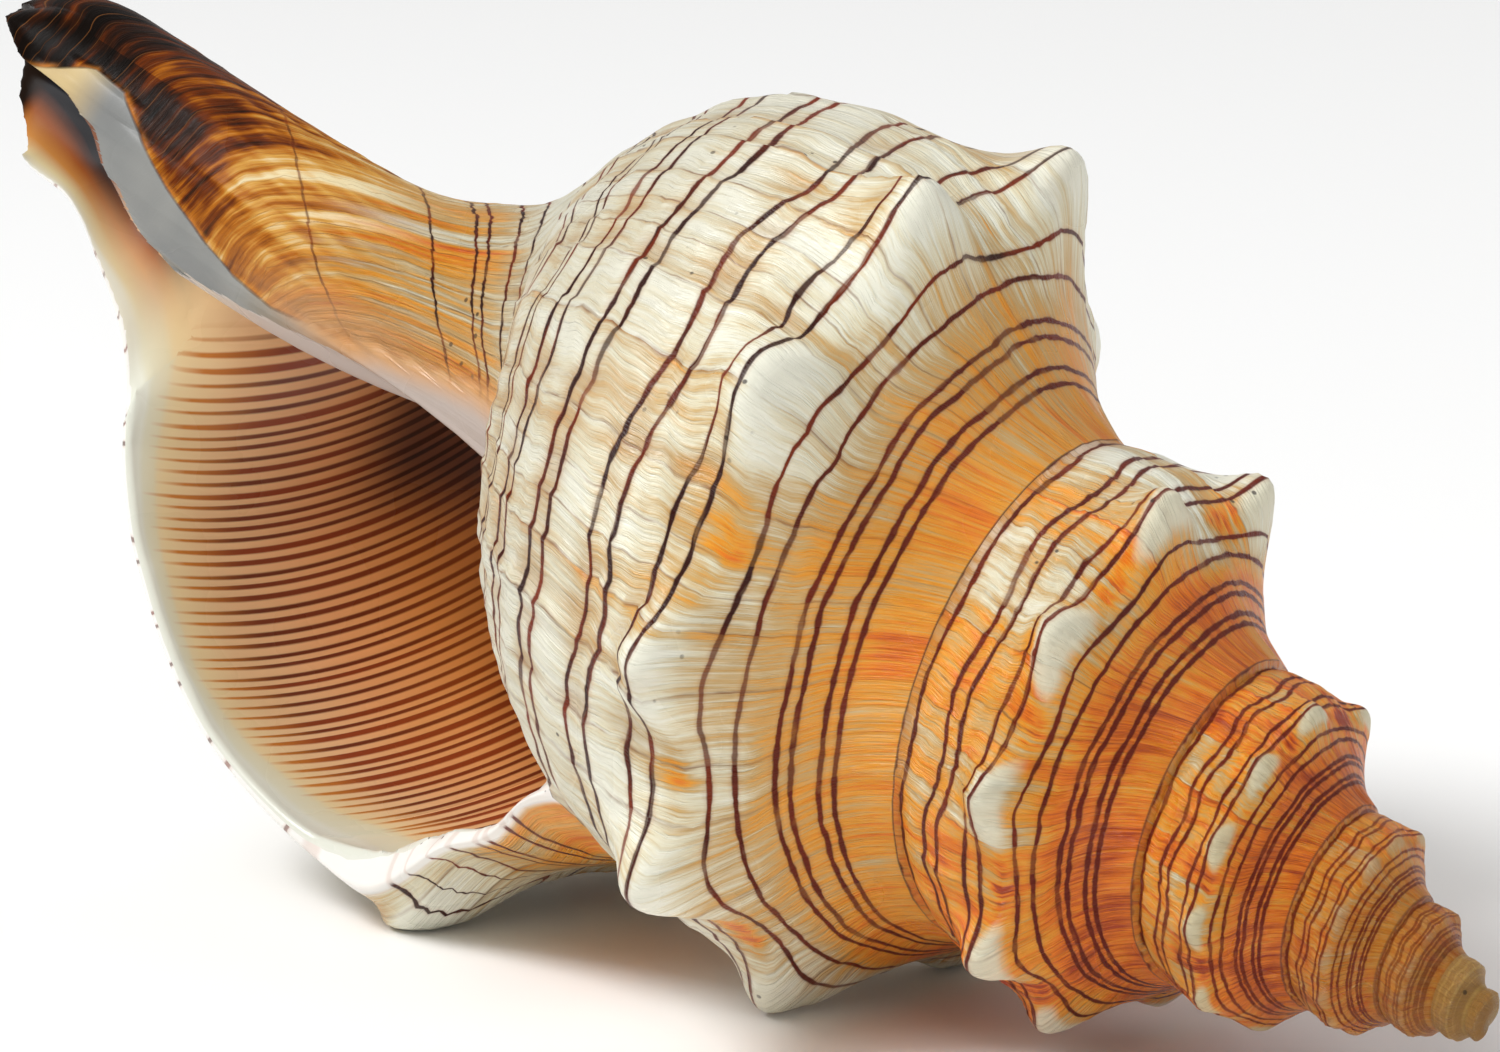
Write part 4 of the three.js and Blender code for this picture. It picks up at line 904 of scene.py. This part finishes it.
# inside of the mouth
lira_r = white(vec(m("FLOOR", add(A["lira"], 0.5)), 3.0, 0.0))
lira_r2 = white(vec(m("FLOOR", add(A["lira"], 0.5)), 9.0, 0.0))
xr = add(sub(A["in_x"], A["begin"]), mul(sub(noise(coord, 90.0, 2.0), 0.5), 14.0))
xs = m("DIVIDE", A["in_x"], add(A["begin"], 14.0))
in_c = ramp(m("DIVIDE", xr, 400.0), [(0.0, (232, 222, 186)), (0.06, (240, 214, 164)), (0.17, (238, 194, 146)),
            (0.45, (242, 170, 114)), (0.72, (240, 150, 78)), (1.0, (214, 118, 54))])
in_c = mix(mul(noise(vec(mul(A["lira_v"], 7.0), mul(A["in_x"], 0.006), 2.0), 1.0, 2.0), ease(A["far_in"], 0.3, 0.8, 0.0, 0.55)), in_c, (214, 140, 66))
lip_in = ramp(add(xs, mul(sub(noise(coord, 130.0, 2.0), 0.5), 0.2)), [(0.0, (218, 219, 206)), (0.34, (232, 232, 216)), (0.52, (230, 226, 200)), (1.0, (232, 220, 184))])
in_c = mix(ease(xs, 0.9, 1.15), lip_in, in_c)
in_plain = in_c
lira_f = m("ABSOLUTE", sub(m("FRACT", add(A["lira"], 0.5)), 0.5))
lw = mul(ease(xr, 0.0, 90.0, 0.07, 0.215, "LINEAR"), ease(lira_r2, 0.0, 1.0, 0.75, 1.25))
lira_l = sub(1.0, ease(sub(lira_f, lw), -0.07, 0.10))
lira_on = mul(m("DIVIDE", sub(xr, mul(lira_r, 14.0)), 30.0, clamp=True), sub(1.0, ease(A["lira_v"], 1.90, 1.96)))
lira_a = mix(ease(xr, 24.0, 110.0), (204, 120, 34), mix(mul(ease(lira_r2, 0.2, 0.8), 0.7), (98, 22, 6), (152, 50, 10)))
lira_c = mix(mul(ease(A["far_in"], 0.45, 0.85), bell(A["lira_v"], 1.25, 0.28)), lira_a, (146, 66, 20))
in_c = mix(mul(mul(mul(lira_l, lira_on), A["is_hollow"]), 0.93), in_c, lira_c)
# painted shade deep inside the mouth, darker further in
deep_shade = ease(A["far_in"], 0.80, 1.40)
in_c = mix(mul(deep_shade, 0.88), in_c, mix(mul(lira_l, 0.8), (86, 40, 26), (28, 9, 6)))
# painted shadow cast by the columella and neck over the upper deep part of the mouth
painted_shadow = mul(ease(add(mul(A["lira_v"], 900.0), A["in_x"]), 1600.0, 1780.0), ease(A["in_x"], 180.0, 290.0))
in_c = mix(mul(painted_shadow, 0.9), in_c, mix(mul(lira_l, 0.9), (84, 46, 40), (24, 10, 8)))
# painted shadow along the columella at the top of the mouth
in_c = mix(mul(mul(ease(A["lira_v"], 1.72, 1.95), ease(A["in_x"], 120.0, 220.0)), 0.35), in_c, (120, 84, 66))
# columella side: its own pale tone near the lip, darkening further in as painted shade
inner_c = ramp(m("DIVIDE", A["turn_in"], 4.0), [(0.0, (206, 196, 190)), (0.08, (196, 164, 140)), (0.2, (150, 96, 70)), (0.5, (70, 38, 32))])
# channel of the canal: cream at the lip, orange-brown, dark beside the callus
ch = add(A["chan"], mul(sub(noise(coord, 60.0, 2.0), 0.5), 0.12))
chan_c = ramp(ch, [(0.0, (216, 208, 184)), (0.10, (212, 194, 150)), (0.30, (188, 126, 64)), (0.52, (146, 78, 34)),
                   (0.70, (84, 50, 38)), (0.84, (30, 28, 32)), (1.0, (22, 23, 28))])
chan_lo = ramp(ch, [(0.0, (220, 212, 188)), (0.2, (220, 202, 160)), (0.55, (214, 164, 118)), (0.80, (178, 116, 76)), (1.0, (112, 72, 60))])
chan_c = mix(ease(A["down"], 1860.0, 2010.0), chan_lo, chan_c)
up_mouth = ease(A["down"], 1790.0, 1880.0)
chan_c = mix(up_mouth, in_plain, chan_c)
rim_w = ease(A["down"], 1820.0, 1950.0, 13.0, 3.5)
chan_c = mix(mul(sub(1.0, ease(m("DIVIDE", A["in_x"], rim_w), 0.7, 1.5)), up_mouth), chan_c, (222, 218, 200))
colour = mix(A["is_out"], in_c, shell_c)
colour = mix(A["is_inner"], colour, inner_c)
colour = mix(A["is_chan"], colour, chan_c)
colour = mix(A["is_edge"], colour, (222, 222, 210))
colour = mix(ease(A["down"], 2104.0, 2128.0), colour, (28, 18, 12))
links.new(colour, bsdf.inputs["Base Color"])

# surface: fine growth striae and low steps, in millimetres
h = mul(striae, 0.22)
h = add(h, mul(fine, 0.10))
h = add(h, mul(bands, 0.42))
h = add(h, mul(m("POWER", frac, 4.0), mul(ease(rnd2, 0.0, 1.0, 0.05, 0.22), 1.0)))
h = add(h, mul(line, -0.03))
h = mul(h, sub(1.0, mul(on_cal, 0.9)))
h = mul(h, sub(1.0, mul(on_canal, 0.75)))
h = add(h, mul(mul(add(mul(arcs, 0.3), mul(arcs2, 0.12)), on_canal), sub(1.0, on_cal)))
h = mul(h, ease(A["down"], 1930.0, 2050.0, 1.0, 0.3))
h = mul(h, A["is_out"])
h = mul(h, ease(A["lip_d"], 4.0, 30.0))
h = add(h, mul(noise(coord, 160.0, 1.0), 0.02))
bump = nodes.new("ShaderNodeBump"); bump.inputs["Strength"].default_value = 1.0
bump.inputs["Distance"].default_value = 0.001
links.new(h, bump.inputs["Height"]); links.new(bump.outputs["Normal"], bsdf.inputs["Normal"])
rough = add(0.20, mul(noise(coord, 120.0, 1.0), 0.16))
links.new(rough, bsdf.inputs["Roughness"])
gloss = sub(0.44, mul(m("MAXIMUM", mul(line, 0.7), on_canal), 0.34))
gloss = mul(gloss, ease(m("MAXIMUM", A["is_chan"], A["is_inner"]), 0.0, 1.0, 1.0, 0.3))
gloss = mul(gloss, ease(A["is_hollow"], 0.0, 1.0, 1.0, 0.7))
gloss = mul(gloss, ease(A["down"], 1900.0, 2040.0, 1.0, 0.25))
links.new(gloss, bsdf.inputs["Specular IOR Level"])
me.materials.clear(); me.materials.append(mat)

shell.data.update()
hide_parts("shell")
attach(shell, "root")

# ---------------------------------------------------------------- the stage
def grey(name, c, rough=0.6):
    m = bpy.data.materials.new(name); m.use_nodes = True
    b = m.node_tree.nodes["Principled BSDF"]
    b.inputs["Base Color"].default_value = (c, c, c * 0.995, 1); b.inputs["Roughness"].default_value = rough
    return m
bpy.ops.mesh.primitive_plane_add(size=8.0, location=(0, 1.5, 0))
floor = bpy.context.object; floor.name = "floor"
floor.data.materials.append(grey("floor_pale", 0.96))

scene = bpy.context.scene
scene.view_settings.view_transform = "Standard"
cam = bpy.data.cameras.new("camera"); cam.sensor_width = 36.0; cam.sensor_fit = "HORIZONTAL"
cam.lens = 181.067; cam.clip_start = 0.01; cam.clip_end = 50
camera = bpy.data.objects.new("camera", cam); scene.collection.objects.link(camera)
camera.location = (0.34791, -0.398204, 0.164478)
camera.rotation_mode = "QUATERNION"
camera.rotation_quaternion = (0.74226268, 0.5734002, 0.22046734, 0.26767981)
scene.camera = camera

def area(name, at, aim, size, watts, colour=(1, 1, 1)):
    l = bpy.data.lights.new(name, "AREA"); l.shape = "DISK"; l.size = size; l.energy = watts; l.color = colour
    o = bpy.data.objects.new(name, l); scene.collection.objects.link(o)
    o.location = at
    o.rotation_mode = "QUATERNION"
    o.rotation_quaternion = (Vector(aim) - Vector(at)).to_track_quat("-Z", "Y")
    return o
area("key", (-0.30, -0.45, 0.75), (0, 0, 0.03), 0.32, 4.9)
area("fill", (0.78, -0.16, 0.36), (0, 0, 0.03), 0.45, 1.5)
area("back", (0.2, 0.7, 0.7), (0, 0, 0.03), 0.6, 1.2)
sun = bpy.data.lights.new("sky", "SUN"); sun.energy = 0.95; sun.angle = radians(40)
sky = bpy.data.objects.new("sky", sun); scene.collection.objects.link(sky)
sky.rotation_euler = (radians(28), radians(-18), 0)
world = bpy.data.worlds.new("studio"); scene.world = world; world.use_nodes = True
world.node_tree.nodes["Background"].inputs["Color"].default_value = (1, 1, 1, 1)
world.node_tree.nodes["Background"].inputs["Strength"].default_value = 0.32
